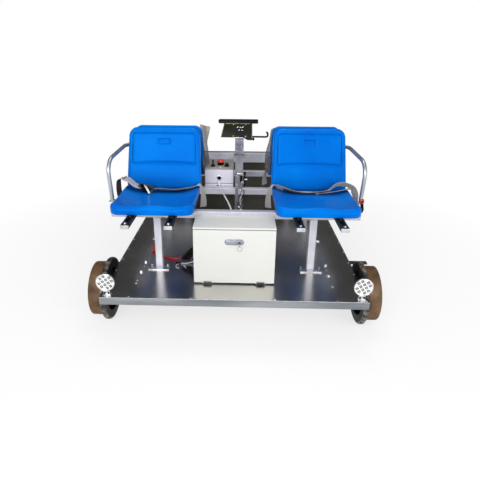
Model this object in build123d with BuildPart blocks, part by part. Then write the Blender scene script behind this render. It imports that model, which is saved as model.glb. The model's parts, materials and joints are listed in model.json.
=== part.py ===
from build123d import *
import math
import os

os.makedirs("parts", exist_ok=True)

# Electric rail trolley. X runs across the track, the front faces -Y and Z is up.
# The origin lies at the foot of the wheel flanges, under the middle of the deck.

# Track and wheels
track_gauge = 1435.0
flange_play = 4.7
tread_radius = 149.5
flange_height = 24.5
flange_thickness = 29.0
flange_round = 11.0
tread_width = 70.0
tread_ring = 13.0
rim_wall = 14.0
web_thickness = 14.0
web_setback = 24.0
hub_radius = 46.0
hub_inset = 22.0
axle_radius = 20.0
nut_washer_radius = 32.0
nut_washer_thickness = 3.0
nut_radius = 24.0
nut_height = 14.0
wheelbase = 1460.0
web_holes = 5
web_hole_radius = 18.0

# Deck
wheel_gap = 7.8
deck_length = 2000.0
deck_top = 276.0
sheet_thickness = 2.0
frame_tube = 40.0
stringer_inset = 156.0
side_bar_y = -546.0
side_bar_reach = 104.0
side_bar_width = 30.0
side_bar_thickness = 8.0
side_bar_drop = 12.0

# Raised seat frame
beam_pitch = 430.0
beam_tube = 40.0
beam_top = 619.0
beam_overhang = 4.0
tube_corner = 4.0
post_inset = 247.0
middle_post_inset = 164.0
foot_length = 120.0
foot_width = 37.0
foot_thickness = 6.0
guard_beam_height = 78.0
guard_panel_thickness = 2.0
guard_panel_rise = 6.0
guard_panel_fold = 40.0

# Fits between pieces
seat_gap = 0.3
running_gap = 0.05
swing_gap = 5.0

# Seats: a depth is measured forwards from the plane between two seats that stand back to back
seat_inset = 246.0
seat_width = 436.0
rail_offset = 107.0
rail_width = 40.0
rail_height = 18.0
rail_wall = 3.0
rail_slot = 20.0
rail_cap_thickness = 3.5
rail_cap_rim = 0.5
rail_cover_length = 30.0
rail_cover_width = 38.0
rail_cover_thickness = 2.0
rail_front = 711.0
rail_rear = 3.0
slider_stem = 14.0
slider_foot = 30.0
slider_foot_height = 8.0
slider_rear = 120.0
slider_front = 595.0
bar_thickness = 4.0
bar_width = 40.0
front_bar_depth = 560.0
cushion_front = 601.0
cushion_rear = 200.0
cushion_front_top = 700.0
cushion_rear_top = 672.0
cushion_corner = 50.0
cushion_nose = 18.0
thigh_spacing = 218.0
thigh_radius = 420.0
thigh_depth = 7.0
back_foot = 195.0
back_lean = 110.0
back_bottom = 658.0
back_top = 1015.0
back_low_width = 446.0
back_high_width = 418.0
back_thickness = 44.0
back_taper = 12.0
back_corner = 48.0
back_panel_width = 392.0
back_panel_low = 800.0
back_panel_high = 990.0
back_panel_corner = 22.0
back_panel_arch = 8.0
back_groove_width = 4.0
back_groove_depth = 2.5
back_grip_width = 66.0
back_grip_height = 29.0
back_grip_level = 936.0
upright_top = 940.0
upright_foot = 8.0
upright_offset = 140.0
upright_thickness = 5.0
arm_radius = 11.0
arm_foot_offset = 264.0
arm_offset = 276.0
arm_depth = 361.0
arm_front_height = 868.0
arm_rear_height = 905.0
arm_rear_offset = 240.0
arm_bend = 60.0
arm_rear_bend = 40.0
arm_foot_rise = 24.0
arm_bar_overhang = 4.0
belt_width = 47.0
belt_thickness = 2.0
belt_depth = 250.0
belt_inset = 4.0

# Battery box
box_width = 425.0
box_height = 323.0
box_wall = 2.0
box_front = -846.0
door_depth = 18.0
door_rise = 7.0
lid_lip = 9.0
sill_height = 4.0
hinge_height = 11.0
knuckle_radius = 5.0
hinge_pin_radius = 2.5
hinge_span = 280.0
knuckle_length = 26.0
ear_width = 8.0
leaf_height = 14.0
lock_height = 245.0
lock_length = 100.0
lock_width = 32.0
lock_depth = 9.0
lock_round = 3.0
battery_side_gap = 20.5
battery_depth = 120.0
battery_height = 190.0

# Control box, brake lever and mast
control_left = -204.0
control_right = -20.0
control_front = -171.0
control_depth = 170.0
control_front_height = 104.0
control_rear_height = 132.0
support_thickness = 3.0
cable_notch_width = 30.0
cable_notch_depth = 28.0
cable_x = -112.0
cable_radius = 5.0
gland_height = 48.0
gland_radius = 16.0
gland_thickness = 3.0
elbow_radius = 8.0
elbow_reach = 10.0
elbow_drop = 15.0
control_row_rear = 83.0
control_row_middle = 56.0
control_row_front = 38.0
stop_x = -106.0
stop_collar_radius = 15.0
stop_collar_height = 5.0
stop_stem_radius = 12.5
stop_stem_height = 12.0
stop_cap_radius = 22.0
stop_cap_height = 14.0
stop_cap_bevel = 5.0
toggle_x = -155.0
toggle_base_radius = 15.0
toggle_base_height = 12.0
toggle_taper = 30.0
toggle_radius = 4.5
toggle_height = 42.0
dial_x = -65.0
dial_radius = 17.0
dial_height = 20.0
dial_taper = 20.0
indicator_radius = 5.0
indicator_height = 4.0
mast_x = 16.0
post_outer = 50.0
post_top = 824.0
collar_outer = 66.0
collar_height = 16.0
mast_outer = 44.0
mast_wall = 3.0
mast_top = 937.0
mast_overlap = 260.0
mast_gap = 0.3
head_outer = 53.0
head_rise = 30.0
hook_radius = 4.0
hook_start = 59.0
hook_reach = 115.0
hook_level = 7.0
hook_rise = 22.0
hook_return = 9.0
hook_bend = 9.0
plate_foot_left = 116.0
plate_neck_left = 97.0
plate_right = 79.0
plate_bar_left = 132.0
plate_bar_right = 114.0
plate_height = 114.0
plate_bar_height = 26.0
plate_bar_fold = 16.0
plate_bar_round = 10.0
plate_neck_round = 18.0
plate_lobe_start = 22.0
plate_lobe_middle = 50.0
plate_lobe_drop = 16.0
plate_lobe_round = 7.0
plate_bolt_spacing = 75.0
plate_bolt_radius = 2.25
plate_thickness = 4.0
plate_tilt = 24.0
lever_radius = 4.0
lever_height = 106.0
lever_knob_radius = 9.0
lever_gap = 8.0
gate_height = 100.0
gate_thickness = 4.0
strap_offset = 13.5
strap_width = 17.0

# Lamps
lamp_radius = 48.0
lamp_depth = 34.0
lamp_cup_radius = 43.0
lamp_back_radius = 20.0
lamp_cup_depth = 13.0
lamp_rim_depth = 7.0
lamp_rim_width = 4.0
lamp_face_inset = 4.0
lamp_side_inset = 36.0
lamp_height = 353.0
lamp_end_inset = 26.0
lamp_stem = 14.0
lamp_stem_thickness = 8.0
lamp_foot_length = 60.0
lamp_foot_width = 26.0
lamp_foot_thickness = 4.0

# Cords and what is on them
bend_share = 0.45
red_lead_radius = 4.5
plug_radius = 12.0
plug_length = 31.0
grey_lead_radius = 3.5
connector_length = 30.0
connector_width = 16.0
connector_height = 7.0
sleeve_radius = 6.6
sleeve_length = 13.0

# Bearings and drive under the deck
bearing_width = 34.0
bearing_radius = 42.0
bearing_neck = 80.0
bearing_base_length = 168.0
bearing_base_height = 18.0
motor_radius = 55.0
motor_length = 170.0
motor_drop = 4.0
case_radius = 66.0
case_width = 60.0
case_reach = 130.0
case_nose = 48.0
hanger_width = 36.0
hanger_thickness = 8.0

# Levels and places that follow from the sizes above
axle_z = tread_radius + flange_height
flange_radius = axle_z
flange_face_x = track_gauge / 2 - flange_play
wheel_outer_x = flange_face_x + tread_width
wheel_inner_x = flange_face_x - flange_thickness
deck_under = deck_top - sheet_thickness
frame_under = deck_under - frame_tube
beam_y = [beam_pitch * step for step in (-1.5, -0.5, 0.5, 1.5)]
seat_plane_y = beam_y[1]
beam_under = beam_top - beam_tube
rail_top = beam_top + rail_height
bar_under = rail_top + swing_gap
bar_top = bar_under + bar_thickness
cushion_under = bar_top + seat_gap
end_y = deck_length / 2
side_x = wheel_inner_x - wheel_gap
deck_width = 2 * side_x
stringer_x = side_x - stringer_inset
beam_length = deck_width + 2 * beam_overhang
post_x = side_x - post_inset
middle_post_x = side_x - middle_post_inset
post_rows = list(zip(beam_y, [post_x, middle_post_x, middle_post_x, post_x]))
seat_x = side_x - seat_inset
lamp_x = side_x - lamp_side_inset


def across(x, y=0.0, z=0.0):
    # A plane whose sketch runs along Y and Z, and which faces +X
    return Plane(origin=(x, y, z), x_dir=(0, 1, 0), z_dir=(1, 0, 0))


def along(y, x=0.0, z=0.0):
    # A plane whose sketch runs along X and Z, and which faces -Y
    return Plane(origin=(x, y, z), x_dir=(1, 0, 0), z_dir=(0, -1, 0))


def finish(part, name):
    part.label = name
    export_step(part, f"parts/{name}.step")


# Axles with their wheels and tread rings
for end, axle_y in (("front", -wheelbase / 2), ("rear", wheelbase / 2)):
    with BuildPart() as axle:
        with BuildSketch(across(-wheel_outer_x + hub_inset, axle_y, axle_z)):
            Circle(axle_radius)
        extrude(amount=2 * (wheel_outer_x - hub_inset))
        with BuildSketch(across(wheel_outer_x - hub_inset, axle_y, axle_z)):
            Circle(nut_washer_radius)
        extrude(amount=nut_washer_thickness)
        with BuildSketch(across(wheel_outer_x - hub_inset + nut_washer_thickness, axle_y, axle_z)):
            RegularPolygon(nut_radius, 6)
        extrude(amount=nut_height)
        mirror(about=Plane.YZ)
    finish(axle.part, f"{end}_axle")

    rim_outer = tread_radius - tread_ring
    rim_inner = rim_outer - rim_wall
    web_inner = flange_face_x + web_setback - web_thickness
    web_outer = flange_face_x + web_setback
    with BuildPart() as wheels:
        with BuildSketch(Plane(origin=(0, axle_y, axle_z))) as section:
            with BuildLine():
                Polyline(
                    (wheel_inner_x, axle_radius),
                    (wheel_inner_x, hub_radius),
                    (web_inner, hub_radius),
                    (web_inner, rim_inner),
                    (wheel_inner_x, rim_inner),
                    (wheel_inner_x, flange_radius),
                    (flange_face_x, flange_radius),
                    (flange_face_x, rim_outer),
                    (wheel_outer_x, rim_outer),
                    (wheel_outer_x, rim_inner),
                    (web_outer, rim_inner),
                    (web_outer, hub_radius),
                    (wheel_outer_x - hub_inset, hub_radius),
                    (wheel_outer_x - hub_inset, axle_radius),
                    close=True,
                )
            make_face()
            flange_tips = section.vertices().sort_by(Axis.Y)[-2:]
            fillet(flange_tips, flange_round)
        revolve(axis=Axis((0, axle_y, axle_z), (1, 0, 0)))
        with BuildSketch(across(web_inner, axle_y, axle_z)):
            with PolarLocations((rim_inner + hub_radius) / 2, web_holes, start_angle=90):
                Circle(web_hole_radius)
        extrude(amount=web_thickness, mode=Mode.SUBTRACT)
        mirror(about=Plane.YZ)
    finish(wheels.part, f"{end}_wheels")

    with BuildPart() as treads:
        with BuildSketch(across(flange_face_x, axle_y, axle_z)):
            Circle(tread_radius)
            Circle(rim_outer, mode=Mode.SUBTRACT)
        extrude(amount=tread_width)
        mirror(about=Plane.YZ)
    finish(treads.part, f"{end}_treads")

# Deck frame: side tubes and stringers run lengthwise between the two end tubes
with BuildPart() as deck_long_tubes:
    with BuildSketch(Plane.XY.offset(frame_under)):
        for x in (side_x - frame_tube / 2, stringer_x):
            with Locations((x, 0), (-x, 0)):
                Rectangle(frame_tube, deck_length - 2 * frame_tube)
    extrude(amount=frame_tube)
finish(deck_long_tubes.part, "deck_long_tubes")

inner_span = 2 * stringer_x - frame_tube
outer_span = side_x - stringer_x - 1.5 * frame_tube
outer_middle = stringer_x + frame_tube / 2 + outer_span / 2
with BuildPart() as deck_cross_tubes:
    with BuildSketch(Plane.XY.offset(frame_under)):
        with Locations((0, end_y - frame_tube / 2), (0, frame_tube / 2 - end_y)):
            Rectangle(deck_width, frame_tube)
        for y in beam_y:
            with Locations((0, y)):
                Rectangle(inner_span, frame_tube)
            with Locations((outer_middle, y), (-outer_middle, y)):
                Rectangle(outer_span, frame_tube)
    extrude(amount=frame_tube)
finish(deck_cross_tubes.part, "deck_cross_tubes")

with BuildPart() as deck_sheet:
    with BuildSketch(Plane.XY.offset(deck_under)):
        Rectangle(deck_width, deck_length)
    extrude(amount=sheet_thickness)
finish(deck_sheet.part, "deck_sheet")

# Side bar that reaches out behind the front wheel on the right
with BuildPart() as side_bar:
    with BuildSketch(Plane.XY.offset(deck_under - side_bar_drop)):
        with Locations((side_x + side_bar_reach / 2, side_bar_y)):
            Rectangle(side_bar_reach, side_bar_width)
    extrude(amount=side_bar_thickness)
finish(side_bar.part, "side_bar")

# Hung bearings: a housing round the axle, and a base against the stringer above
with BuildPart() as bearings:
    for axle_y in (-wheelbase / 2, wheelbase / 2):
        with BuildSketch(across(stringer_x - bearing_width / 2, axle_y, axle_z)):
            Circle(bearing_radius)
            with Locations((0, frame_under - axle_z - bearing_base_height / 2)):
                Rectangle(bearing_base_length, bearing_base_height)
            with Locations((0, (frame_under - axle_z) / 2)):
                Rectangle(bearing_neck, frame_under - axle_z)
            Circle(axle_radius + running_gap, mode=Mode.SUBTRACT)
        extrude(amount=bearing_width)
    mirror(about=Plane.YZ)
finish(bearings.part, "axle_bearings")

# Drive: a chain case on the rear axle and a motor on its inner side
case_y = wheelbase / 2
motor_y = case_y - case_reach
motor_z = axle_z - motor_drop
hanger_y = beam_y[3]
with BuildPart() as drive_case:
    with BuildSketch(across(-case_width / 2)):
        with BuildSketch(mode=Mode.PRIVATE) as big_end:
            with Locations((case_y, axle_z)):
                Circle(case_radius)
        with BuildSketch(mode=Mode.PRIVATE) as small_end:
            with Locations((motor_y, motor_z)):
                Circle(case_nose)
        make_hull(big_end.sketch.edges() + small_end.sketch.edges())
        with Locations((case_y, axle_z)):
            Circle(axle_radius + running_gap, mode=Mode.SUBTRACT)
    extrude(amount=case_width)
    with BuildSketch(across(-hanger_thickness / 2, hanger_y, motor_z)):
        with Locations((0, (frame_under - motor_z) / 2)):
            Rectangle(hanger_width, frame_under - motor_z)
    extrude(amount=hanger_thickness)
finish(drive_case.part, "drive_case")

with BuildPart() as drive_motor:
    with BuildSketch(across(case_width / 2, motor_y, motor_z)):
        Circle(motor_radius)
    extrude(amount=motor_length)
finish(drive_motor.part, "drive_motor")

# Posts that stand on the deck, each with a foot plate against its front face;
# the two middle rows stand further out, over the stringers
with BuildPart() as seat_posts:
    for y, row_x in post_rows:
        with BuildSketch(Plane.XY.offset(deck_top)):
            with Locations((row_x, y), (-row_x, y)):
                Rectangle(beam_tube, beam_tube)
        extrude(amount=beam_under - deck_top)
        with BuildSketch(Plane.XY.offset(deck_top)):
            foot_y = y - (beam_tube + foot_width) / 2
            with Locations((row_x, foot_y), (-row_x, foot_y)):
                Rectangle(foot_length, foot_width)
        extrude(amount=foot_thickness)
finish(seat_posts.part, "seat_posts")

# Cross beams that carry the seats, and the taller guard beam at the rear
guard_y = beam_y[3]
with BuildPart() as seat_beams:
    with BuildSketch(across(-beam_length / 2)):
        for y in beam_y[:3]:
            with Locations((y, beam_under + beam_tube / 2)):
                RectangleRounded(beam_tube, beam_tube, tube_corner)
        with Locations((guard_y, beam_under + guard_beam_height / 2)):
            RectangleRounded(beam_tube, guard_beam_height, tube_corner)
    extrude(amount=beam_length)
finish(seat_beams.part, "seat_beams")

# Sheet behind the guard beam, folded out along the deck at its foot
panel_y = guard_y + beam_tube / 2
panel_top = beam_under + guard_beam_height + guard_panel_rise
with BuildPart() as guard_panel:
    with BuildSketch(across(-beam_length / 2)):
        with BuildLine():
            Polyline(
                (panel_y, deck_top),
                (panel_y, panel_top),
                (panel_y + guard_panel_thickness, panel_top),
                (panel_y + guard_panel_thickness, deck_top + guard_panel_thickness),
                (panel_y + guard_panel_fold, deck_top + guard_panel_thickness),
                (panel_y + guard_panel_fold, deck_top),
                close=True,
            )
        make_face()
    extrude(amount=beam_length)
finish(guard_panel.part, "guard_panel")

# Lower slide rails: open channels on the beams, two for each seat, capped at their outer ends
with BuildPart() as slide_rails:
    for facing in (-1, 1):
        middle_y = seat_plane_y + facing * (rail_front + rail_rear) / 2
        with BuildSketch(along(middle_y)):
            for side in (-1, 1):
                for rail_x in (-rail_offset, rail_offset):
                    with Locations((side * seat_x + rail_x, beam_top + rail_height / 2)):
                        Rectangle(rail_width, rail_height)
                        Rectangle(
                            rail_width - 2 * rail_wall,
                            rail_height - 2 * rail_wall,
                            mode=Mode.SUBTRACT,
                        )
                    with Locations((side * seat_x + rail_x, rail_top - rail_wall / 2)):
                        Rectangle(rail_slot, rail_wall, mode=Mode.SUBTRACT)
        extrude(amount=(rail_front - rail_rear) / 2, both=True)
        rail_places = [side * seat_x + rail_x for side in (-1, 1) for rail_x in (-rail_offset, rail_offset)]
        cap_y = seat_plane_y + facing * (rail_front + rail_cap_thickness / 2)
        with BuildSketch(Plane.XY.offset(beam_top - rail_cap_rim)):
            with Locations(*[(x, cap_y) for x in rail_places]):
                Rectangle(rail_width + 2 * rail_cap_rim, rail_cap_thickness)
        extrude(amount=rail_height + 2 * rail_cap_rim)
        cover_y = seat_plane_y + facing * (rail_front - rail_cover_length / 2)
        with BuildSketch(Plane.XY.offset(rail_top)):
            with Locations(*[(x, cover_y) for x in rail_places]):
                Rectangle(rail_cover_width, rail_cover_length)
        extrude(amount=rail_cover_thickness)
finish(slide_rails.part, "slide_rails")

# Four seats: name, side of the trolley, way it faces
seat_table = [
    ("front_left", -1, -1),
    ("front_right", 1, -1),
    ("rear_left", -1, 1),
    ("rear_right", 1, 1),
]


def back_line(z):
    # Depth of the backrest's front face at a height
    return back_foot - back_lean * (z - back_bottom) / (back_top - back_bottom)


seat_slope = math.atan2(cushion_front_top - cushion_rear_top, cushion_front - cushion_rear)
upright_gap = back_thickness + seat_gap
lean = math.atan2(back_lean, back_top - back_bottom)

for name, side, facing in seat_table:
    middle_x = side * seat_x

    def at(depth):
        return seat_plane_y + facing * depth

    # Sliders in the rails, cross bars on them, and two flat uprights behind the backrest
    with BuildPart() as seat_frame:
        stem_height = bar_under - beam_top - rail_wall - seat_gap
        with BuildSketch(along(at((slider_front + slider_rear) / 2))):
            for rail_x in (-rail_offset, rail_offset):
                with Locations((middle_x + rail_x, bar_under - stem_height / 2)):
                    Rectangle(slider_stem, stem_height)
                with Locations((middle_x + rail_x, bar_under - stem_height + slider_foot_height / 2)):
                    Rectangle(slider_foot, slider_foot_height)
        extrude(amount=(slider_front - slider_rear) / 2, both=True)
        upright_depth = back_line(bar_top) - upright_gap - upright_thickness
        bar_reach = rail_offset + rail_width
        with BuildSketch(Plane.XY.offset(bar_under)):
            with Locations((middle_x, at(front_bar_depth))):
                Rectangle(2 * bar_reach, bar_width)
            with Locations((middle_x, at(upright_depth + bar_width / 2))):
                Rectangle(2 * upright_offset + bar_width, bar_width)
            arm_bar_end = arm_foot_offset + arm_radius + arm_bar_overhang
            arm_bar_length = arm_bar_end + rail_offset + slider_stem / 2
            arm_bar_middle = middle_x + side * (arm_bar_end - arm_bar_length / 2)
            with Locations((arm_bar_middle, at(arm_depth))):
                Rectangle(arm_bar_length, bar_width)
        extrude(amount=bar_thickness)
        with BuildSketch(across(middle_x)):
            with BuildLine():
                foot_depth = back_line(bar_under) - upright_gap
                head_depth = back_line(upright_top) - upright_gap
                Polyline(
                    (at(foot_depth), bar_under),
                    (at(head_depth), upright_top),
                    (at(head_depth - upright_thickness), upright_top),
                    (at(foot_depth - upright_thickness), bar_under),
                    close=True,
                )
            make_face()
        extrude(amount=upright_offset + bar_width / 2, both=True)
        with BuildSketch(along(at(0))):
            with Locations((middle_x, (bar_top + upright_foot + upright_top) / 2)):
                Rectangle(2 * upright_offset - bar_width, upright_top - bar_top - upright_foot)
        extrude(amount=back_foot, both=True, mode=Mode.SUBTRACT)

    # Armrest tube: up from the cross bar, back along the side, and in behind the backrest
    arm_foot_x = middle_x + side * arm_foot_offset
    arm_side_x = middle_x + side * arm_offset
    arm_rear_x = middle_x + side * arm_rear_offset
    arm_end_x = middle_x + side * upright_offset
    arm_rear_depth = back_line(arm_rear_height) - upright_gap - upright_thickness - arm_radius - seat_gap
    arm_foot = bar_top + seat_gap
    with BuildPart() as armrest:
        with BuildLine() as arm_route:
            FilletPolyline(
                (arm_foot_x, at(arm_depth), arm_foot),
                (arm_foot_x, at(arm_depth), arm_foot + arm_foot_rise),
                (arm_side_x, at(arm_depth), arm_front_height),
                (arm_rear_x, at(arm_rear_depth), arm_rear_height),
                (arm_end_x, at(arm_rear_depth), arm_rear_height),
                radius=[arm_bend, arm_bend, arm_rear_bend],
            )
        with BuildSketch(Plane(origin=(arm_foot_x, at(arm_depth), arm_foot))):
            Circle(arm_radius)
        sweep(path=arm_route.line)
    finish(Compound([*seat_frame.part.solids(), *armrest.part.solids()]), f"seat_{name}_frame")

    # Moulded seat: side section drawn across the whole width, with rounded front corners
    with BuildPart() as cushion:
        with BuildSketch(across(middle_x)) as side_section:
            with BuildLine():
                Polyline(
                    (at(cushion_rear), cushion_under),
                    (at(cushion_rear), cushion_rear_top),
                    (at(cushion_front), cushion_front_top),
                    (at(cushion_front), cushion_under),
                    close=True,
                )
            make_face()
            nose = side_section.vertices().sort_by(Axis.X)
            nose = nose[:2] if facing < 0 else nose[-2:]
            fillet(nose, cushion_nose)
        extrude(amount=seat_width / 2, both=True)
        with BuildSketch(Plane.XY.offset(cushion_under)) as outline:
            with Locations((middle_x, at((cushion_front + cushion_rear) / 2))):
                Rectangle(seat_width, cushion_front - cushion_rear)
            corners = outline.vertices().sort_by(Axis.Y)
            corners = corners[:2] if facing < 0 else corners[-2:]
            fillet(corners, cushion_corner)
        extrude(amount=cushion_front_top - cushion_under, mode=Mode.INTERSECT)
        hollow_height = (cushion_rear_top + cushion_front_top) / 2 + thigh_radius - thigh_depth
        hollow_plane = Plane(
            origin=(middle_x, at((cushion_rear + cushion_front) / 2), hollow_height),
            x_dir=(1, 0, 0),
            z_dir=(0, facing * math.cos(seat_slope), math.sin(seat_slope)),
        )
        with BuildSketch(hollow_plane):
            with Locations((thigh_spacing / 2, 0), (-thigh_spacing / 2, 0)):
                Circle(thigh_radius)
        extrude(amount=cushion_front - cushion_rear, both=True, mode=Mode.SUBTRACT)
    finish(cushion.part, f"seat_{name}_cushion")

    # Moulded backrest: leaning side section, with rounded top corners
    with BuildPart() as backrest:
        with BuildSketch(across(middle_x)) as back_section:
            with BuildLine():
                Polyline(
                    (at(back_line(back_bottom)), back_bottom),
                    (at(back_line(back_top)), back_top),
                    (at(back_line(back_top) - back_thickness + back_taper), back_top),
                    (at(back_line(upright_top) - back_thickness), upright_top),
                    (at(back_line(back_bottom) - back_thickness), back_bottom),
                    close=True,
                )
            make_face()
        extrude(amount=back_low_width / 2, both=True)
        with BuildSketch(along(at(0))) as back_outline:
            with BuildLine():
                Polyline(
                    (middle_x - back_low_width / 2, back_bottom),
                    (middle_x + back_low_width / 2, back_bottom),
                    (middle_x + back_high_width / 2, back_top),
                    (middle_x - back_high_width / 2, back_top),
                    close=True,
                )
            make_face()
            top_corners = back_outline.vertices().sort_by(Axis.Y)[-2:]
            fillet(top_corners, back_corner)
        extrude(amount=2 * back_foot, both=True, mode=Mode.INTERSECT)

        # Pressed panel with an arched lower edge, and the grip recess in it
        def pressed(height):
            # A place on the leaning front face, seen from the front
            return Plane(
                origin=(middle_x, at(back_line(height) - back_groove_depth), height),
                x_dir=(-facing, 0, 0),
                z_dir=(0, facing * math.cos(lean), math.sin(lean)),
            )

        with BuildSketch(pressed((back_panel_low + back_panel_high) / 2)):
            half_width = back_panel_width / 2
            half_height = (back_panel_high - back_panel_low) / 2 / math.cos(lean)
            with BuildLine():
                Polyline((-half_width, -half_height), (-half_width, half_height),
                         (half_width, half_height), (half_width, -half_height))
                ThreePointArc((half_width, -half_height), (0, back_panel_arch - half_height),
                              (-half_width, -half_height))
            panel = make_face()
            fillet(panel.vertices(), back_panel_corner)
            offset(amount=-back_groove_width, mode=Mode.SUBTRACT)
        extrude(amount=back_groove_depth, mode=Mode.SUBTRACT)
        with BuildSketch(pressed(back_grip_level)):
            RectangleRounded(back_grip_width, back_grip_height, back_groove_width)
        extrude(amount=back_groove_depth, mode=Mode.SUBTRACT)
    finish(backrest.part, f"seat_{name}_backrest")

    # Lap belt laid across the seat
    slope = (cushion_front_top - cushion_rear_top) / (cushion_front - cushion_rear)
    belt_rear_z = cushion_rear_top + slope * (belt_depth - cushion_rear) + seat_gap
    belt_front_z = belt_rear_z + slope * belt_width
    with BuildPart() as belt:
        with BuildSketch(across(middle_x)):
            with BuildLine():
                Polyline(
                    (at(belt_depth), belt_rear_z),
                    (at(belt_depth + belt_width), belt_front_z),
                    (at(belt_depth + belt_width), belt_front_z + belt_thickness),
                    (at(belt_depth), belt_rear_z + belt_thickness),
                    close=True,
                )
            make_face()
        extrude(amount=seat_width / 2 - belt_inset, both=True)
    finish(belt.part, f"seat_{name}_belt")

# Battery box: folded shell, open to the front behind its door
box_top = deck_top + box_height
box_back = beam_y[0] - beam_tube / 2 - seat_gap
shell_front = box_front + door_depth + swing_gap
hinge_y = box_front - knuckle_radius
hinge_z = deck_top + hinge_height
ear_step = (knuckle_length + ear_width) / 2 + seat_gap
ear_x = [side * hinge_span / 2 + end * ear_step for side in (-1, 1) for end in (-1, 1)]
with BuildPart() as box_shell:
    with BuildSketch(Plane.XY.offset(deck_top)):
        with Locations((0, (shell_front + box_back) / 2)):
            Rectangle(box_width, box_back - shell_front)
    extrude(amount=box_height)
    with BuildSketch(Plane.XY.offset(deck_top + box_wall)):
        with Locations((0, (shell_front + box_back) / 2 - box_wall)):
            Rectangle(box_width - 2 * box_wall, box_back - shell_front)
    extrude(amount=box_height - 2 * box_wall, mode=Mode.SUBTRACT)
    with BuildSketch(Plane.XY.offset(box_top - box_wall)):
        with Locations((0, (box_front + shell_front) / 2)):
            Rectangle(box_width, shell_front - box_front)
    extrude(amount=box_wall)
    with BuildSketch(Plane.XY.offset(box_top - lid_lip)):
        with Locations((0, box_front + box_wall / 2)):
            Rectangle(box_width, box_wall)
    extrude(amount=lid_lip)
    with BuildSketch(Plane.XY.offset(deck_top)):
        with Locations((0, (hinge_y - knuckle_radius + shell_front) / 2)):
            Rectangle(box_width, shell_front - hinge_y + knuckle_radius)
    extrude(amount=sill_height)
    for x in ear_x:
        with BuildSketch(across(x - ear_width / 2, hinge_y, hinge_z)):
            Circle(knuckle_radius)
            with Locations((0, (deck_top - hinge_z) / 2)):
                Rectangle(2 * knuckle_radius, hinge_z - deck_top)
        extrude(amount=ear_width)
    for side in (-1, 1):
        with BuildSketch(across(side * hinge_span / 2 - knuckle_length, hinge_y, hinge_z)):
            Circle(hinge_pin_radius)
        extrude(amount=2 * knuckle_length)
finish(box_shell.part, "box_shell")

door_under = deck_top + door_rise
door_top = box_top - lid_lip - swing_gap
with BuildPart() as box_door:
    with BuildSketch(along(box_front + door_depth)):
        with Locations((0, (door_under + door_top) / 2)):
            Rectangle(box_width, door_top - door_under)
    extrude(amount=door_depth)
    with BuildSketch(along(box_front + door_depth)):
        with Locations((0, (door_under + door_top) / 2)):
            Rectangle(box_width - 2 * box_wall, door_top - door_under - 2 * box_wall)
    extrude(amount=door_depth - box_wall, mode=Mode.SUBTRACT)
    for side in (-1, 1):
        with BuildSketch(across(side * hinge_span / 2 - knuckle_length / 2, hinge_y, hinge_z)):
            Circle(knuckle_radius)
            with Locations((knuckle_radius - box_wall / 2, leaf_height / 2)):
                Rectangle(box_wall, leaf_height)
            Circle(hinge_pin_radius + running_gap, mode=Mode.SUBTRACT)
        extrude(amount=knuckle_length)
finish(box_door.part, "box_door")

with BuildPart() as box_lock:
    with BuildSketch(along(box_front, 0, deck_top + lock_height)):
        SlotOverall(lock_length, lock_width)
    extrude(amount=lock_depth)
    fillet(box_lock.faces().sort_by(Axis.Y)[0].edges(), lock_round)
finish(box_lock.part, "box_lock")

with BuildPart() as battery:
    with BuildSketch(Plane.XY.offset(deck_top + box_wall)):
        with Locations((0, (shell_front + box_back) / 2)):
            Rectangle(box_width - 2 * (box_wall + battery_side_gap), battery_depth)
    extrude(amount=battery_height)
finish(battery.part, "battery_block")

# Control box on a support plate between the second and third beams
control_middle = (control_left + control_right) / 2
control_width = control_right - control_left
support_top = beam_top + support_thickness
with BuildPart() as control_support:
    with BuildSketch(Plane.XY.offset(beam_top)):
        with Locations((control_middle, (beam_y[1] + beam_y[2]) / 2)):
            Rectangle(control_width, beam_pitch + beam_tube)
        with Locations((cable_x, beam_y[1] + (beam_tube + cable_notch_depth) / 2)):
            Rectangle(cable_notch_width, cable_notch_depth, mode=Mode.SUBTRACT)
    extrude(amount=support_thickness)
finish(control_support.part, "control_support")

with BuildPart() as control_box:
    with BuildSketch(across(control_left)):
        with BuildLine():
            Polyline(
                (control_front, support_top),
                (control_front, support_top + control_front_height),
                (control_front + control_depth, support_top + control_rear_height),
                (control_front + control_depth, support_top),
                close=True,
            )
        make_face()
    extrude(amount=control_width)
finish(control_box.part, "control_box")

top_slope = math.atan2(control_rear_height - control_front_height, control_depth)


def control_top(depth, x):
    # A plane on the sloping top of the control box, at a distance back from its front edge
    rise = support_top + control_front_height + depth * math.tan(top_slope)
    return Plane(
        origin=(x, control_front + depth, rise),
        x_dir=(1, 0, 0),
        z_dir=(0, -math.sin(top_slope), math.cos(top_slope)),
    )


stop_under_cap = stop_collar_height + stop_stem_height
with BuildPart() as stop_button:
    with BuildSketch(control_top(control_row_rear, stop_x).offset(stop_collar_height)):
        Circle(stop_stem_radius)
    extrude(amount=stop_stem_height)
    with BuildSketch(control_top(control_row_rear, stop_x).offset(stop_under_cap)):
        Circle(stop_cap_radius)
    extrude(amount=stop_cap_height)
    cap_edge = stop_button.edges().filter_by(GeomType.CIRCLE).sort_by(Axis.Z)[-1]
    chamfer(cap_edge, stop_cap_bevel)
finish(stop_button.part, "stop_button")

# Toggle, dial, collar of the stop button and indicator, each as distance back,
# place across, radius, height and taper
switch_forms = [
    (control_row_middle, toggle_x, toggle_base_radius, toggle_base_height, toggle_taper),
    (control_row_middle, toggle_x, toggle_radius, toggle_height, 0),
    (control_row_middle, dial_x, dial_radius, dial_height, dial_taper),
    (control_row_rear, stop_x, stop_collar_radius, stop_collar_height, 0),
    (control_row_front, stop_x, indicator_radius, indicator_height, 0),
]
with BuildPart() as control_switches:
    for depth, x, radius, height, taper in switch_forms:
        with BuildSketch(control_top(depth, x)):
            Circle(radius)
        extrude(amount=height, taper=taper)
finish(control_switches.part, "control_switches")

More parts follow.
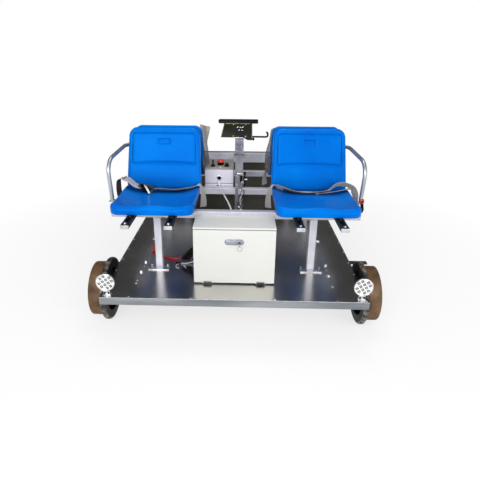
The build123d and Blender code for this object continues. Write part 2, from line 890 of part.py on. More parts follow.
# Cable entry: a round flange on the front, and a mitred elbow that turns the cable down
gland_z = support_top + gland_height
elbow_y = control_front - gland_thickness
with BuildPart() as cable_gland:
    with BuildSketch(along(control_front, cable_x, gland_z)):
        Circle(gland_radius)
    extrude(amount=gland_thickness)
    with BuildLine() as elbow_route:
        Polyline(
            (cable_x, elbow_y, gland_z),
            (cable_x, elbow_y - elbow_reach, gland_z),
            (cable_x, elbow_y - elbow_reach, gland_z - elbow_drop),
        )
    with BuildSketch(along(elbow_y, cable_x, gland_z)):
        Circle(elbow_radius)
    sweep(path=elbow_route.line, transition=Transition.RIGHT)
finish(cable_gland.part, "cable_gland")

# Mast: a square post on the deck, a tube that slides in it, and a tilted mounting plate
post_y = seat_plane_y + beam_tube / 2 + seat_gap + post_outer / 2
post_wall = (post_outer - mast_outer) / 2 - mast_gap
with BuildPart() as mast_post:
    with BuildSketch(Plane.XY.offset(deck_top)):
        with Locations((mast_x, post_y)):
            Rectangle(post_outer, post_outer)
    extrude(amount=post_top - deck_top)
    with BuildSketch(Plane.XY.offset(post_top - collar_height)):
        with Locations((mast_x, post_y)):
            Rectangle(collar_outer, collar_outer)
    extrude(amount=collar_height)
    with BuildSketch(Plane.XY.offset(deck_top + post_wall)):
        with Locations((mast_x, post_y)):
            Rectangle(post_outer - 2 * post_wall, post_outer - 2 * post_wall)
    extrude(amount=post_top - deck_top - post_wall, mode=Mode.SUBTRACT)
finish(mast_post.part, "mast_post")

with BuildPart() as mast_tube:
    with BuildSketch(Plane.XY.offset(post_top - mast_overlap)):
        with Locations((mast_x, post_y)):
            RectangleRounded(mast_outer, mast_outer, tube_corner)
            Rectangle(mast_outer - 2 * mast_wall, mast_outer - 2 * mast_wall, mode=Mode.SUBTRACT)
    extrude(amount=mast_top - post_top + mast_overlap)
finish(mast_tube.part, "mast_tube")

# Mounting plate: pressed sheet with a folded bar, on a head that is sleeved over the tube
tilt = math.radians(plate_tilt)
head_front = post_y - head_outer / 2
head_low = post_top + swing_gap
plate_plane = Plane(
    origin=(mast_x, head_front, mast_top),
    x_dir=(1, 0, 0),
    z_dir=(0, -math.cos(tilt), math.sin(tilt)),
)
slope_foot = plate_plane.from_local_coords((0, 0, 0))
slope_head = plate_plane.from_local_coords((0, head_rise, 0))
neck_height = plate_height - plate_bar_height
with BuildPart() as mount_plate:
    with BuildSketch(across(mast_x)):
        with BuildLine():
            Polyline(
                (head_front, head_low),
                (head_front, slope_foot.Z),
                (slope_head.Y, slope_head.Z),
                (post_y + head_outer / 2, slope_head.Z),
                (post_y + head_outer / 2, head_low),
                close=True,
            )
        make_face()
    extrude(amount=head_outer / 2, both=True)
    with BuildSketch(Plane.XY.offset(head_low)):
        with Locations((mast_x, post_y)):
            Rectangle(mast_outer + 2 * seat_gap, mast_outer + 2 * seat_gap)
    extrude(amount=mast_top - head_low + seat_gap, mode=Mode.SUBTRACT)
    with BuildSketch(plate_plane) as plate_outline:
        with BuildLine():
            Polyline(
                (-plate_foot_left, 0),
                (-plate_neck_left, neck_height),
                (-plate_bar_left, neck_height),
                (-plate_bar_left, plate_height),
                (plate_bar_right, plate_height),
                (plate_bar_right, neck_height),
                (plate_right, neck_height),
                (plate_right, -plate_lobe_drop),
                (plate_lobe_middle, -plate_lobe_drop),
                (plate_lobe_start, 0),
                close=True,
            )
        make_face()
        corners = plate_outline.vertices()
        necks = [point for point in corners if abs(point.Y - neck_height) < seat_gap]
        necks = [point for point in necks if -plate_bar_left < point.X < plate_bar_right]
        fillet(necks, plate_neck_round)
        left_end = plate_outline.vertices().sort_by(Axis.X)[:2]
        fillet(left_end, plate_bar_round)
        lobe = plate_outline.vertices().sort_by(Axis.Y)[:2]
        fillet(lobe, plate_lobe_round)
        with Locations((0, neck_height / 2)):
            with GridLocations(plate_bolt_spacing, plate_bolt_spacing, 2, 2):
                Circle(plate_bolt_radius, mode=Mode.SUBTRACT)
    extrude(amount=plate_thickness)
    fold_middle = (plate_bar_right - plate_bar_left + plate_bar_round) / 2
    with BuildSketch(plate_plane):
        with Locations((fold_middle, plate_height - plate_thickness / 2)):
            Rectangle(plate_bar_left + plate_bar_right - plate_bar_round, plate_thickness)
    extrude(amount=-plate_bar_fold)
finish(mount_plate.part, "mount_plate")

with BuildPart() as hook_rod:
    rod_start = plate_plane.from_local_coords((hook_start, hook_level, -hook_radius - seat_gap))
    with BuildLine() as rod_route:
        FilletPolyline(
            (rod_start.X, rod_start.Y, rod_start.Z),
            (rod_start.X + hook_reach, rod_start.Y, rod_start.Z),
            (rod_start.X + hook_reach, rod_start.Y, rod_start.Z + hook_rise),
            (rod_start.X + hook_reach - hook_return, rod_start.Y, rod_start.Z + hook_rise + hook_return),
            radius=[hook_bend, hook_bend],
        )
    with BuildSketch(across(rod_start.X, rod_start.Y, rod_start.Z)):
        Circle(hook_radius)
    sweep(path=rod_route.line)
finish(hook_rod.part, "hook_rod")

# Brake lever gate on the second beam, in front of the mast, with the lever beside it. A flat strap
# goes down from the gate to the deck, in front of the beam.
gate_front = seat_plane_y - beam_tube / 2 - seat_gap - gate_thickness
with BuildPart() as lever_gate:
    with BuildSketch(Plane.XY.offset(beam_top)):
        with Locations((mast_x, (gate_front + seat_plane_y + beam_tube / 2) / 2)):
            Rectangle(post_outer, seat_plane_y + beam_tube / 2 - gate_front)
    extrude(amount=gate_thickness)
    with BuildSketch(Plane.XY.offset(deck_top)):
        with Locations((mast_x - strap_offset, gate_front + gate_thickness / 2)):
            Rectangle(strap_width, gate_thickness)
    extrude(amount=beam_top - deck_top)
    with BuildSketch(Plane.XY.offset(beam_top)):
        with Locations((mast_x, seat_plane_y + beam_tube / 2 - gate_thickness / 2)):
            Rectangle(post_outer, gate_thickness)
    extrude(amount=gate_height)
finish(lever_gate.part, "lever_gate")

lever_x = mast_x + post_outer / 2 + lever_radius + lever_gap
with BuildPart() as brake_lever:
    with BuildSketch(Plane.XY.offset(beam_top)):
        with Locations((lever_x, seat_plane_y)):
            Circle(lever_radius)
    extrude(amount=lever_height - lever_knob_radius)
    with Locations((lever_x, seat_plane_y, beam_top + lever_height - lever_knob_radius)):
        Sphere(lever_knob_radius)
finish(brake_lever.part, "brake_lever")

# Lamps at the four corners: a cup with a rim, on a foot and a stem
lamp_y = end_y - lamp_end_inset
with BuildPart() as corner_lamps:
    back = lamp_y - lamp_depth / 2
    with BuildSketch(Plane(origin=(lamp_x, 0, lamp_height))):
        with BuildLine():
            cup_start = back + lamp_cup_depth
            rim_start = back + lamp_depth - lamp_rim_depth
            face = back + lamp_depth - lamp_face_inset
            Polyline(
                (lamp_cup_radius, cup_start),
                (lamp_cup_radius, rim_start),
                (lamp_radius, rim_start),
                (lamp_radius, back + lamp_depth),
                (lamp_radius - lamp_rim_width, back + lamp_depth),
                (lamp_radius - lamp_rim_width, face),
                (0, face),
                (0, back),
                (lamp_back_radius, back),
            )
            TangentArc((lamp_cup_radius, cup_start), (lamp_back_radius, back), tangent=(0, -1))
        make_face()
    revolve(axis=Axis((lamp_x, 0, lamp_height), (0, 1, 0)))
    mirror(about=Plane.YZ)
    mirror(about=Plane.XZ)
finish(corner_lamps.part, "corner_lamps")

with BuildPart() as lamp_brackets:
    lamp_places = [(side * lamp_x, end * lamp_y) for end in (-1, 1) for side in (-1, 1)]
    with BuildSketch(Plane.XY.offset(deck_top)):
        with Locations(*lamp_places):
            Rectangle(lamp_foot_length, lamp_foot_width)
    extrude(amount=lamp_foot_thickness)
    with BuildSketch(Plane.XY.offset(deck_top)):
        with Locations(*lamp_places):
            Rectangle(lamp_stem, lamp_stem_thickness)
    extrude(amount=lamp_height - lamp_cup_radius - deck_top - seat_gap)
finish(lamp_brackets.part, "lamp_brackets")


def cord(name, points, radius):
    # A cord's tube: straight runs joined by arcs as large as the two runs beside them allow
    corners = [Vector(*p) for p in points]
    bends = []
    for before, here, after in zip(corners, corners[1:], corners[2:]):
        turn = math.radians((here - before).get_angle(after - here))
        shorter = min((here - before).length, (after - here).length)
        bends.append(bend_share * shorter / math.tan(turn / 2))
    with BuildPart() as tube:
        with BuildLine() as route:
            FilletPolyline(*points, radius=bends)
        start = corners[0]
        with BuildSketch(Plane(origin=start, z_dir=corners[1] - start)):
            Circle(radius)
        sweep(path=route.line)
    length = sum(edge.length for edge in route.edges())
    ratio = tube.part.volume / (math.pi * radius**2 * length)
    print(name, "length", round(length, 1), "volume ratio", round(ratio, 4))
    print("  radii", [round(bend) for bend in bends])
    finish(tube.part, name)


# Control cable: from the gland, down behind the second beam, and along the deck to the battery box
control_cable_points = [
    (-112, -184, 654.7),
    (-112, -184, 640),
    (-110, -184.5, 628),
    (-104, -185, 608),
    (-93, -184, 583),
    (-77, -184, 553),
    (-60, -186, 523),
    (-44, -190, 492),
    (-31, -199, 459),
    (-24, -214, 423),
    (-22, -240, 386),
    (-26, -277, 349),
    (-33, -325, 317),
    (-40, -380, 294),
    (-46, -440, 283),
    (-50, -500, 281.2),
    (-51, -553, 285),
    (-50, -600, 297),
    (-50, -638, 311),
    (-50, -665.3, 311),
]
cord("control_cable", control_cable_points, cable_radius)

# Red charging lead: out of the back of the battery box and across the deck to its plug
red_lead_points = [
    (-175, -665.3, 430),
    (-175, -640, 430),
    (-193, -618, 420),
    (-222, -602, 392),
    (-254, -594, 352),
    (-287, -588, 315),
    (-327, -580, 289),
    (-372, -565, 281.5),
    (-416, -541, 281.5),
    (-451, -510, 285),
    (-478, -480, 289),
]
cord("red_lead", red_lead_points, red_lead_radius)

# Grey lead: a short one beside it, with a connector on its end
grey_lead_points = [
    (-170, -665.3, 335),
    (-170, -642, 335),
    (-188, -622, 324),
    (-216, -613, 302),
    (-250, -615, 284),
    (-284, -624, 280),
    (-312, -622, 280.3),
]
cord("grey_lead", grey_lead_points, grey_lead_radius)

red_end = Vector(*red_lead_points[-1])
red_way = (red_end - Vector(*red_lead_points[-2])).normalized()
with BuildPart() as red_plug:
    with BuildSketch(Plane(origin=red_end, z_dir=red_way)):
        Circle(sleeve_radius)
    extrude(amount=sleeve_length)
    with BuildSketch(Plane(origin=red_end + red_way * sleeve_length, z_dir=red_way)):
        Circle(plug_radius)
    extrude(amount=plug_length)
finish(red_plug.part, "red_plug")

grey_end = Vector(*grey_lead_points[-1])
grey_way = (grey_end - Vector(*grey_lead_points[-2])).normalized()
grey_side = grey_way.cross(Vector(0, 0, 1))
with BuildPart() as grey_connector:
    with BuildSketch(Plane(origin=grey_end, x_dir=grey_side, z_dir=grey_way)):
        Rectangle(connector_width, connector_height)
    extrude(amount=connector_length)
finish(grey_connector.part, "grey_connector")
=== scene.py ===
import json
import math

import bmesh
import bpy
from mathutils import Matrix, Vector


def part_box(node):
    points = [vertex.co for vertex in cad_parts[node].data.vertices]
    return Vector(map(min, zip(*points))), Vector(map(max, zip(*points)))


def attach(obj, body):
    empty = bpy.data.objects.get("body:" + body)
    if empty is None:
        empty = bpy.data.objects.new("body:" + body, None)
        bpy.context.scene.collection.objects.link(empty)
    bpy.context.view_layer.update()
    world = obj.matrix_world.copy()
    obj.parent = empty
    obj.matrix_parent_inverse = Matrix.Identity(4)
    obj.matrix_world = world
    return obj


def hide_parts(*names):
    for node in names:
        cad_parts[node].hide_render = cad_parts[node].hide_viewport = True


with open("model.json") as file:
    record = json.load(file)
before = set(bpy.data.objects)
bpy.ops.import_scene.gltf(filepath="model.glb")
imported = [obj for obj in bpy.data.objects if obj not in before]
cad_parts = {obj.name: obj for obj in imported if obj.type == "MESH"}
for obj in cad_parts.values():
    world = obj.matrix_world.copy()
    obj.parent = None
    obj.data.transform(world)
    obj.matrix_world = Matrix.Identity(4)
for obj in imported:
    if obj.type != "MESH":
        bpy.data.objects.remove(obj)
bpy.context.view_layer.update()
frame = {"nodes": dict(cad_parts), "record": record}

# Places that the looks share with the frame, in metres
axle_y = 0.73
axle_z = 0.174
tread_radius = 0.1495
flange_face_x = 0.7128
wheel_outer_x = 0.7828
wheel_inner_x = 0.6838
deck_top = 0.276
deck_end = 1.0
beam_y = [-0.645, -0.215, 0.215, 0.645]
beam_top = 0.619
post_x = [0.429, 0.512, 0.512, 0.429]
seat_x = 0.43
seat_plane_y = -0.215
rail_offset = 0.107
mast_x = 0.016
mast_y = -0.1697
box_front = -0.846
box_back = -0.6653
box_half = 0.2125
box_top = 0.599
control_low = 0.622
control_front = -0.171
control_sides = (-0.204, -0.02)
control_depth = 0.17
control_heights = (0.104, 0.132)
cable_x = -0.112
rail_top = 0.637
rail_end = 0.711
lamp_x = 0.64
lamp_y = 0.974
lamp_z = 0.353
arm_radius = 0.011
bar_low = 0.642
bar_high = 0.646


# Camera: fitted to the photograph's outlines in its 480 pixel frame
frame_pixels = 480
focal_pixels = 432.88
centre_pixel = (229.52, 213.28)
sensor_width = 36.0
camera_place = Vector((0.0303, -2.8699, 1.4334))
camera_yaw = -0.0275
camera_pitch = 0.3569
camera_roll = 0.0054


def make_camera():
    """Turns yaw, pitch and roll into a camera whose lens and shift are those of the photograph."""
    forward = Vector((
        math.sin(camera_yaw) * math.cos(camera_pitch),
        math.cos(camera_yaw) * math.cos(camera_pitch),
        -math.sin(camera_pitch),
    ))
    level = Vector((math.cos(camera_yaw), -math.sin(camera_yaw), 0))
    upright = level.cross(forward)
    right = level * math.cos(camera_roll) + upright * math.sin(camera_roll)
    up = upright * math.cos(camera_roll) - level * math.sin(camera_roll)
    turn = Matrix((right, up, -forward)).transposed()
    data = bpy.data.cameras.new("camera")
    data.sensor_width = sensor_width
    data.lens = sensor_width * focal_pixels / frame_pixels
    data.shift_x = (frame_pixels / 2 - centre_pixel[0]) / frame_pixels
    data.shift_y = (centre_pixel[1] - frame_pixels / 2) / frame_pixels
    camera = bpy.data.objects.new("camera", data)
    camera.matrix_world = Matrix.Translation(camera_place) @ turn.to_4x4()
    bpy.context.scene.collection.objects.link(camera)
    bpy.context.scene.camera = camera


make_camera()


# Materials
def colour(code):
    """A linear colour from a hex code."""
    parts = [int(code[start:start + 2], 16) / 255 for start in (0, 2, 4)]
    linear = [((part + 0.055) / 1.055) ** 2.4 if part > 0.04045 else part / 12.92 for part in parts]
    return (*linear, 1.0)


def start_material(name):
    """A new material, its node tree and its shader."""
    material = bpy.data.materials.new(name)
    material.use_nodes = True
    tree = material.node_tree
    return material, tree, tree.nodes["Principled BSDF"]


def add_node(tree, kind, constants=(), wires=(), **settings):
    """A node with its settings, the constants on its inputs and the outputs wired into them."""
    node = tree.nodes.new("ShaderNode" + kind)
    for setting, value in settings.items():
        setattr(node, setting, value)
    for socket, value in dict(constants).items():
        node.inputs[socket].default_value = value
    for socket, output in dict(wires).items():
        tree.links.new(output, node.inputs[socket])
    return node


def add_noise(tree, scale, detail=4.0, stretch=(1, 1, 1)):
    """Noise over the object's own metres."""
    place = add_node(tree, "TexCoord")
    mapping = add_node(tree, "Mapping", {"Scale": stretch}, {"Vector": place.outputs["Object"]})
    texture = add_node(tree, "TexNoise", {"Scale": scale, "Detail": detail},
                       {"Vector": mapping.outputs["Vector"]})
    return texture.outputs["Fac"]


def add_ramp(tree, value, tones, low=0.35, high=0.65):
    """Tones, written as hex codes, spread evenly over the middle of a value's range."""
    ramp = add_node(tree, "ValToRGB", wires={"Fac": value})
    stops = ramp.color_ramp.elements
    codes = tones.split()
    while len(stops) < len(codes):
        stops.new(0.5)
    for index, code in enumerate(codes):
        stops[index].position = low + (high - low) * index / (len(codes) - 1)
        stops[index].color = colour(code)
    return ramp.outputs["Color"]


def add_range(tree, value, low, high, start=0.3, end=0.7):
    """A value between start and end, spread over low to high."""
    limits = {"From Min": start, "From Max": end, "To Min": low, "To Max": high}
    return add_node(tree, "MapRange", limits, {"Value": value}).outputs["Result"]


def add_bump(tree, shader, height, strength, distance):
    """Bends a shader's normals by a height; strength is a share and distance is in metres."""
    bump = add_node(tree, "Bump", {"Strength": strength, "Distance": distance}, {"Height": height})
    tree.links.new(bump.outputs["Normal"], shader.inputs["Normal"])


def surface(name, tones, rough, metallic, specular, patch, grain, bump, stretch=(1, 1, 1), coat=0.0):
    """Blotches of near tones, roughness that varies with them, and a fine grain."""
    material, tree, shader = start_material(name)
    shader.inputs["Metallic"].default_value = metallic
    shader.inputs["Specular IOR Level"].default_value = specular
    shader.inputs["Coat Weight"].default_value = coat
    patches = add_noise(tree, patch, stretch=stretch)
    tree.links.new(add_ramp(tree, patches, tones), shader.inputs["Base Color"])
    tree.links.new(add_range(tree, patches, *rough), shader.inputs["Roughness"])
    add_bump(tree, shader, add_noise(tree, grain, 3.0, stretch), bump, grain_depth)
    return material


def mix_over(tree, shader, mask, tone, base):
    """Lays one tone over the base colour where the mask is high."""
    mix = add_node(tree, "Mix", {colour_b: colour(tone)}, {"Factor": mask, colour_a: base},
                   data_type="RGBA")
    tree.links.new(mix.outputs[colour_result], shader.inputs["Base Color"])


def web_material():
    """Grey seat-belt webbing: ribs along the strap, over a fine cross weave."""
    material, tree, shader = start_material("belt_web")
    shader.inputs["Roughness"].default_value = 0.62
    shader.inputs["Sheen Weight"].default_value = 0.35
    place = add_node(tree, "TexCoord").outputs["UV"]
    waves = [add_node(tree, "TexWave", {"Scale": scale, "Distortion": 0.6}, {"Vector": place},
                      bands_direction=direction).outputs["Fac"]
             for direction, scale in (("X", 160.0), ("Y", 55.0))]
    weave = add_node(tree, "Math", wires=enumerate(waves), operation="MULTIPLY").outputs["Value"]
    tree.links.new(add_ramp(tree, weave, "8A8786 B4B0AD", 0.0, 0.7), shader.inputs["Base Color"])
    add_bump(tree, shader, weave, 0.5, 0.0006)
    return material


def rust_material():
    """Brown tread: thin rust in patches, with a few dark pits."""
    material, tree, shader = start_material("tread_rust")
    patches = add_noise(tree, 14.0, 6.0)
    base = add_ramp(tree, patches, "46311D 60462B 7A5A3C", 0.3, 0.7)
    pits = add_noise(tree, 260.0, 3.0)
    mix_over(tree, shader, add_range(tree, pits, 0.0, 0.55, 0.62, 0.72), "33271C", base)
    tree.links.new(add_range(tree, patches, 0.72, 0.5), shader.inputs["Roughness"])
    shader.inputs["Metallic"].default_value = 0.15
    add_bump(tree, shader, pits, 0.35, 0.0006)
    return material


def worn_material():
    """Flange rim: black paint rubbed through to light grey-brown metal."""
    material, tree, shader = start_material("flange_worn")
    rubs = add_noise(tree, 30.0, 6.0)
    base = add_ramp(tree, rubs, "23201E 55504A 938B82", 0.4, 0.66)
    tree.links.new(base, shader.inputs["Base Color"])
    shader.inputs["Metallic"].default_value = 0.35
    tree.links.new(add_range(tree, rubs, 0.55, 0.38), shader.inputs["Roughness"])
    add_bump(tree, shader, add_noise(tree, 300.0), 0.3, 0.0005)
    return material


def seat_material():
    """Azure plastic with a fine grain, and painted shade that darkens it in its hollows and seams."""
    material, tree, shader = start_material("seat_blue")
    shader.inputs["Specular IOR Level"].default_value = 0.22
    shader.inputs["Specular Tint"].default_value = colour("3C9CFF")
    patches = add_noise(tree, 3.0)
    base = add_ramp(tree, patches, "0060C0 0068C8 0070D0")
    # Painted shade: ambient occlusion darkens the blue towards 003C80 in hollows, creases and where cushion
    # meets back.
    hollow = add_node(tree, "AmbientOcclusion", {"Distance": 0.12}, samples=6).outputs["AO"]
    mix_over(tree, shader, add_range(tree, hollow, 0.9, 0.0, 0.25, 0.97), "003C80", base)
    tree.links.new(add_range(tree, patches, 0.26, 0.34), shader.inputs["Roughness"])
    add_bump(tree, shader, add_noise(tree, 900.0, 3.0), 0.08, grain_depth)
    return material


def clear_material(name, tint, rough, alpha):
    """Glass or film that lets part of the light through, with a slight crumple."""
    material, tree, shader = start_material(name)
    shader.inputs["Base Color"].default_value = colour(tint)
    shader.inputs["Alpha"].default_value = alpha
    shader.inputs["Specular IOR Level"].default_value = 0.8
    crumple = add_noise(tree, 60.0, 3.0)
    tree.links.new(add_range(tree, crumple, *rough), shader.inputs["Roughness"])
    add_bump(tree, shader, crumple, 0.25, 0.001)
    return material


# The Mix node's colour sockets, whose names its number sockets have too
colour_a, colour_b, colour_result = 6, 7, 2
grain_depth = 0.0004

# Each finish: tones, roughness, metallic, specular, scale of patches and of grain, bump, stretch, coat
finishes = {
    "deck_steel": ("BCBAB5 C5C3BE CECCC7", (0.22, 0.27), 1.0, 0.5, 3.0, 500.0, 0.04),
    "frame_steel": ("757A7F 868A8E 9A9DA1", (0.34, 0.48), 0.6, 0.5, 2.5, 420.0, 0.12, (1, 8, 8)),
    "zinc_steel": ("B4B5C0 C2C3CD D0D1DA", (0.3, 0.44), 0.3, 0.5, 9.0, 380.0, 0.12),
    "mast_steel": ("4A4B55 5F606B 7C7D89", (0.26, 0.4), 0.75, 0.5, 14.0, 380.0, 0.15, (1, 1, 3)),
    "arm_steel": ("A6A7AC BCBDC1", (0.28, 0.36), 0.8, 0.5, 5.0, 600.0, 0.03),
    "dark_steel": ("38393A 474849 55564F", (0.34, 0.5), 0.5, 0.5, 12.0, 420.0, 0.15),
    "post_steel": ("74757E 85868F 96979F", (0.3, 0.44), 0.5, 0.5, 10.0, 380.0, 0.15),
    "panel_dark": ("2E2D25 383730 42413A", (0.3, 0.45), 0.35, 0.4, 2.0, 400.0, 0.1),
    "web_dark": ("2B2B2C 3E3E40", (0.6, 0.75), 0.0, 0.3, 60.0, 500.0, 0.4),
    "bearing_iron": ("2F3133 3B3D40", (0.5, 0.65), 0.3, 0.5, 12.0, 180.0, 0.5),
    "axle_steel": ("6F6D69 8C8A86", (0.3, 0.5), 0.9, 0.5, 8.0, 300.0, 0.15, (12, 1, 1)),
    "wheel_black": ("0A0A0A 101011 181818", (0.44, 0.58), 0.0, 0.12, 10.0, 260.0, 0.25),
    "drive_cast": ("7F8285 94979A", (0.42, 0.6), 0.7, 0.5, 14.0, 260.0, 0.5),
    "motor_black": ("0A0B0C 141516", (0.38, 0.52), 0.2, 0.3, 9.0, 300.0, 0.3),
    "rail_steel": ("141415 202021", (0.42, 0.55), 0.2, 0.4, 12.0, 400.0, 0.15),
    "bright_zinc": ("BDBEC2 DADADD", (0.18, 0.3), 0.85, 0.5, 40.0, 500.0, 0.1),
    "lamp_chrome": ("C8C9CC DADBDE", (0.1, 0.18), 0.75, 0.6, 20.0, 400.0, 0.03),
    "ivory_paint": ("C9CAC6 D0D1CD", (0.32, 0.42), 0.0, 0.4, 2.0, 700.0, 0.06, (1, 1, 1), 0.1),
    "control_paint": ("CFCCD8 D8D5E0", (0.34, 0.44), 0.0, 0.45, 4.0, 650.0, 0.08),
    "control_lid": ("A5A19F B3AFAE", (0.35, 0.5), 0.45, 0.5, 3.0, 420.0, 0.15, (1, 14, 1)),
    "lock_chrome": ("8E929C A6AAB4", (0.16, 0.26), 0.9, 0.6, 14.0, 400.0, 0.04),
    "battery_case": ("1C1F23 262A2F", (0.4, 0.5), 0.0, 0.5, 8.0, 300.0, 0.2),
    "black_plastic": ("060606 0E0E0E", (0.38, 0.5), 0.0, 0.12, 30.0, 420.0, 0.2),
    "red_plastic": ("B43322 C8402E", (0.22, 0.32), 0.0, 0.5, 25.0, 300.0, 0.1),
    "white_plastic": ("E6E6E2 F2F2EE", (0.3, 0.4), 0.0, 0.5, 25.0, 300.0, 0.1),
    "plate_black": ("0E0F08 17180E 121316", (0.34, 0.5), 0.0, 0.15, 18.0, 300.0, 0.2),
    "yellow_zinc": ("6A6230 8E844A A59C62", (0.3, 0.45), 0.6, 0.5, 40.0, 300.0, 0.15),
    "white_rubber": ("F0F0EE F8F8F6", (0.42, 0.55), 0.0, 0.5, 20.0, 300.0, 0.2),
    "red_rubber": ("B02B1D C6382A", (0.4, 0.5), 0.0, 0.5, 20.0, 300.0, 0.2),
    "grey_rubber": ("B4B4B8 C6C6CA", (0.42, 0.55), 0.0, 0.5, 20.0, 300.0, 0.2),
    # Dark cells of the lamps; elsewhere painted shade: the box's shadow gap and hinges, the control box's
    # shadow line and the holes of the lamp feet.
    "dark_cells_and_painted_shade": ("26262B 3B3B43", (0.2, 0.3), 0.4, 0.5, 60.0, 300.0, 0.1),
}
materials = {name: surface(name, *row) for name, row in finishes.items()}
materials["tread_brown"] = rust_material()
materials["flange_worn"] = worn_material()
materials["seat_blue"] = seat_material()
materials["belt_web"] = web_material()
materials["film_grey"] = clear_material("film_grey", "5C574F", (0.12, 0.3), 0.84)
materials["lamp_glass"] = clear_material("lamp_glass", "FFFFFF", (0.03, 0.08), 0.12)

# Nodes whose finish isn't simply their slot's
finish_of = {"mast_tube": "mast_steel", "mast_post": "post_steel", "lever_gate": "post_steel",
             "hook_rod": "motor_black", "guard_panel": "panel_dark"}
slot_of = {row["node"]: row["material_slot"] for row in frame["record"]["subparts"]}
for node, part in frame["nodes"].items():
    part.data.materials.clear()
    part.data.materials.append(materials[finish_of.get(node, slot_of[node])])


# Cords
def make_cord(name, node, body, finish, points, diameter):
    """A round cord along smooth control points, in place of its CAD node."""
    curve = bpy.data.curves.new(name, "CURVE")
    curve.dimensions = "3D"
    spline = curve.splines.new("NURBS")
    spline.points.add(len(points) - 1)
    for target, point in zip(spline.points, points):
        target.co = (*point, 1.0)
    spline.order_u = 3
    spline.use_endpoint_u = True
    curve.resolution_u = 10
    curve.bevel_depth = diameter / 2
    curve.bevel_resolution = 4
    curve.use_fill_caps = True
    curve.materials.append(materials[finish])
    cord = bpy.data.objects.new(name, curve)
    bpy.context.scene.collection.objects.link(cord)
    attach(cord, body)
    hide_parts(node)


control_cable_points = [
    (-0.112, -0.184, 0.6547),
    (-0.112, -0.184, 0.640),
    (-0.110, -0.1845, 0.628),
    (-0.104, -0.185, 0.608),
    (-0.093, -0.184, 0.583),
    (-0.077, -0.184, 0.553),
    (-0.060, -0.186, 0.523),
    (-0.044, -0.190, 0.492),
    (-0.031, -0.199, 0.459),
    (-0.024, -0.214, 0.423),
    (-0.022, -0.240, 0.386),
    (-0.026, -0.277, 0.349),
    (-0.033, -0.325, 0.317),
    (-0.040, -0.380, 0.294),
    (-0.046, -0.440, 0.283),
    (-0.050, -0.500, 0.2812),
    (-0.051, -0.553, 0.285),
    (-0.050, -0.600, 0.297),
    (-0.050, -0.638, 0.311),
    (-0.050, -0.6653, 0.311),
]
red_lead_points = [
    (-0.175, -0.6653, 0.430),
    (-0.175, -0.640, 0.430),
    (-0.193, -0.618, 0.420),
    (-0.222, -0.602, 0.392),
    (-0.254, -0.594, 0.352),
    (-0.287, -0.588, 0.315),
    (-0.327, -0.580, 0.289),
    (-0.372, -0.565, 0.2815),
    (-0.416, -0.541, 0.2815),
    (-0.451, -0.510, 0.285),
    (-0.478, -0.480, 0.289),
]
grey_lead_points = [
    (-0.170, -0.6653, 0.335),
    (-0.170, -0.642, 0.335),
    (-0.188, -0.622, 0.324),
    (-0.216, -0.613, 0.302),
    (-0.250, -0.615, 0.284),
    (-0.284, -0.624, 0.280),
    (-0.312, -0.622, 0.2803),
]
make_cord("control_cable_run", "control_cable", "chassis", "white_rubber", control_cable_points,
          0.010)
make_cord("red_lead_run", "red_lead", "chassis", "red_rubber", red_lead_points,
          0.009)
make_cord("grey_lead_run", "grey_lead", "chassis", "grey_rubber", grey_lead_points,
          0.007)


# Mesh helpers
sides = (-1, 1)


def shift(x, y, z):
    """A place moved along the axes."""
    return Matrix.Translation((x, y, z))


def spin(angle, axis):
    """A place turned about an axis."""
    return Matrix.Rotation(angle, 4, axis)


def corners(x, y, low, high=None):
    """Four corners over a rectangle, whose near side lies at low and whose far side at high."""
    high = low if high is None else high
    return [(x[0], y[0], low), (x[1], y[0], low), (x[1], y[1], high), (x[0], y[1], high)]


def quarter(*degrees):
    """A rounded edge at each angle: the shares of its radius that are left to the side and the top."""
    turns = [math.radians(angle) for angle in degrees]
    return [(1 - math.sin(turn), 1 - math.cos(turn)) for turn in turns]


def facing(origin, normal, up=(0, 0, 1)):
    """A place whose Z axis points along a normal, and whose Y axis is near up."""
    z_way = Vector(normal).normalized()
    x_way = Vector(up).cross(z_way)
    if x_way.length < 1e-6:
        x_way = Vector((1, 0, 0))
    x_way.normalize()
    turn = Matrix((x_way, z_way.cross(x_way), z_way)).transposed()
    return Matrix.Translation(Vector(origin)) @ turn.to_4x4()


def loft(bm, rows, material=0, around=True):
    """Quads between rows of points, each with as many points."""
    made = [[bm.verts.new(point) for point in row] for row in rows]
    count = len(rows[0])
    for low, high in zip(made, made[1:]):
        for index in range(count if around else count - 1):
            after = (index + 1) % count
            face = bm.faces.new((low[index], low[after], high[after], high[index]))
            face.material_index = material


def lathe(bm, place, profile, segments=32, material=0):
    """A turned form: the profile holds (height, radius) along the place's Z axis."""
    rows = []
    for height, radius in profile:
        ring = []
        for index in range(segments):
            angle = 2 * math.pi * index / segments
            ring.append(place @ Vector((radius * math.cos(angle), radius * math.sin(angle), height)))
        rows.append(ring)
    loft(bm, rows, material)


def break_edges(bm, edges, bevel, segments=2):
    """Rounds edges in a few segments."""
    bmesh.ops.bevel(bm, geom=edges, offset=bevel, segments=segments, profile=0.5, affect="EDGES",
                    clamp_overlap=True, material=-1)


def slab(bm, below, above, bevel=0.002, material=0, segments=2):
    """A body with rounded edges between four corners below and the four above them."""
    verts = [bm.verts.new(corner) for corner in (*below, *above)]
    loops = ((3, 2, 1, 0), (4, 5, 6, 7), (0, 1, 5, 4), (1, 2, 6, 5), (2, 3, 7, 6), (3, 0, 4, 7))
    faces = [bm.faces.new([verts[index] for index in loop]) for loop in loops]
    for face in faces:
        face.material_index = material
    break_edges(bm, list({edge for face in faces for edge in face.edges}), bevel, segments)


def block(bm, place, size, bevel=0.002, material=0, segments=2):
    """A box with rounded edges, centred on its place."""
    x, y, z = (length / 2 for length in size)
    slab(bm, [place @ Vector(corner) for corner in corners((-x, x), (-y, y), -z)],
         [place @ Vector(corner) for corner in corners((-x, x), (-y, y), z)], bevel, material, segments)


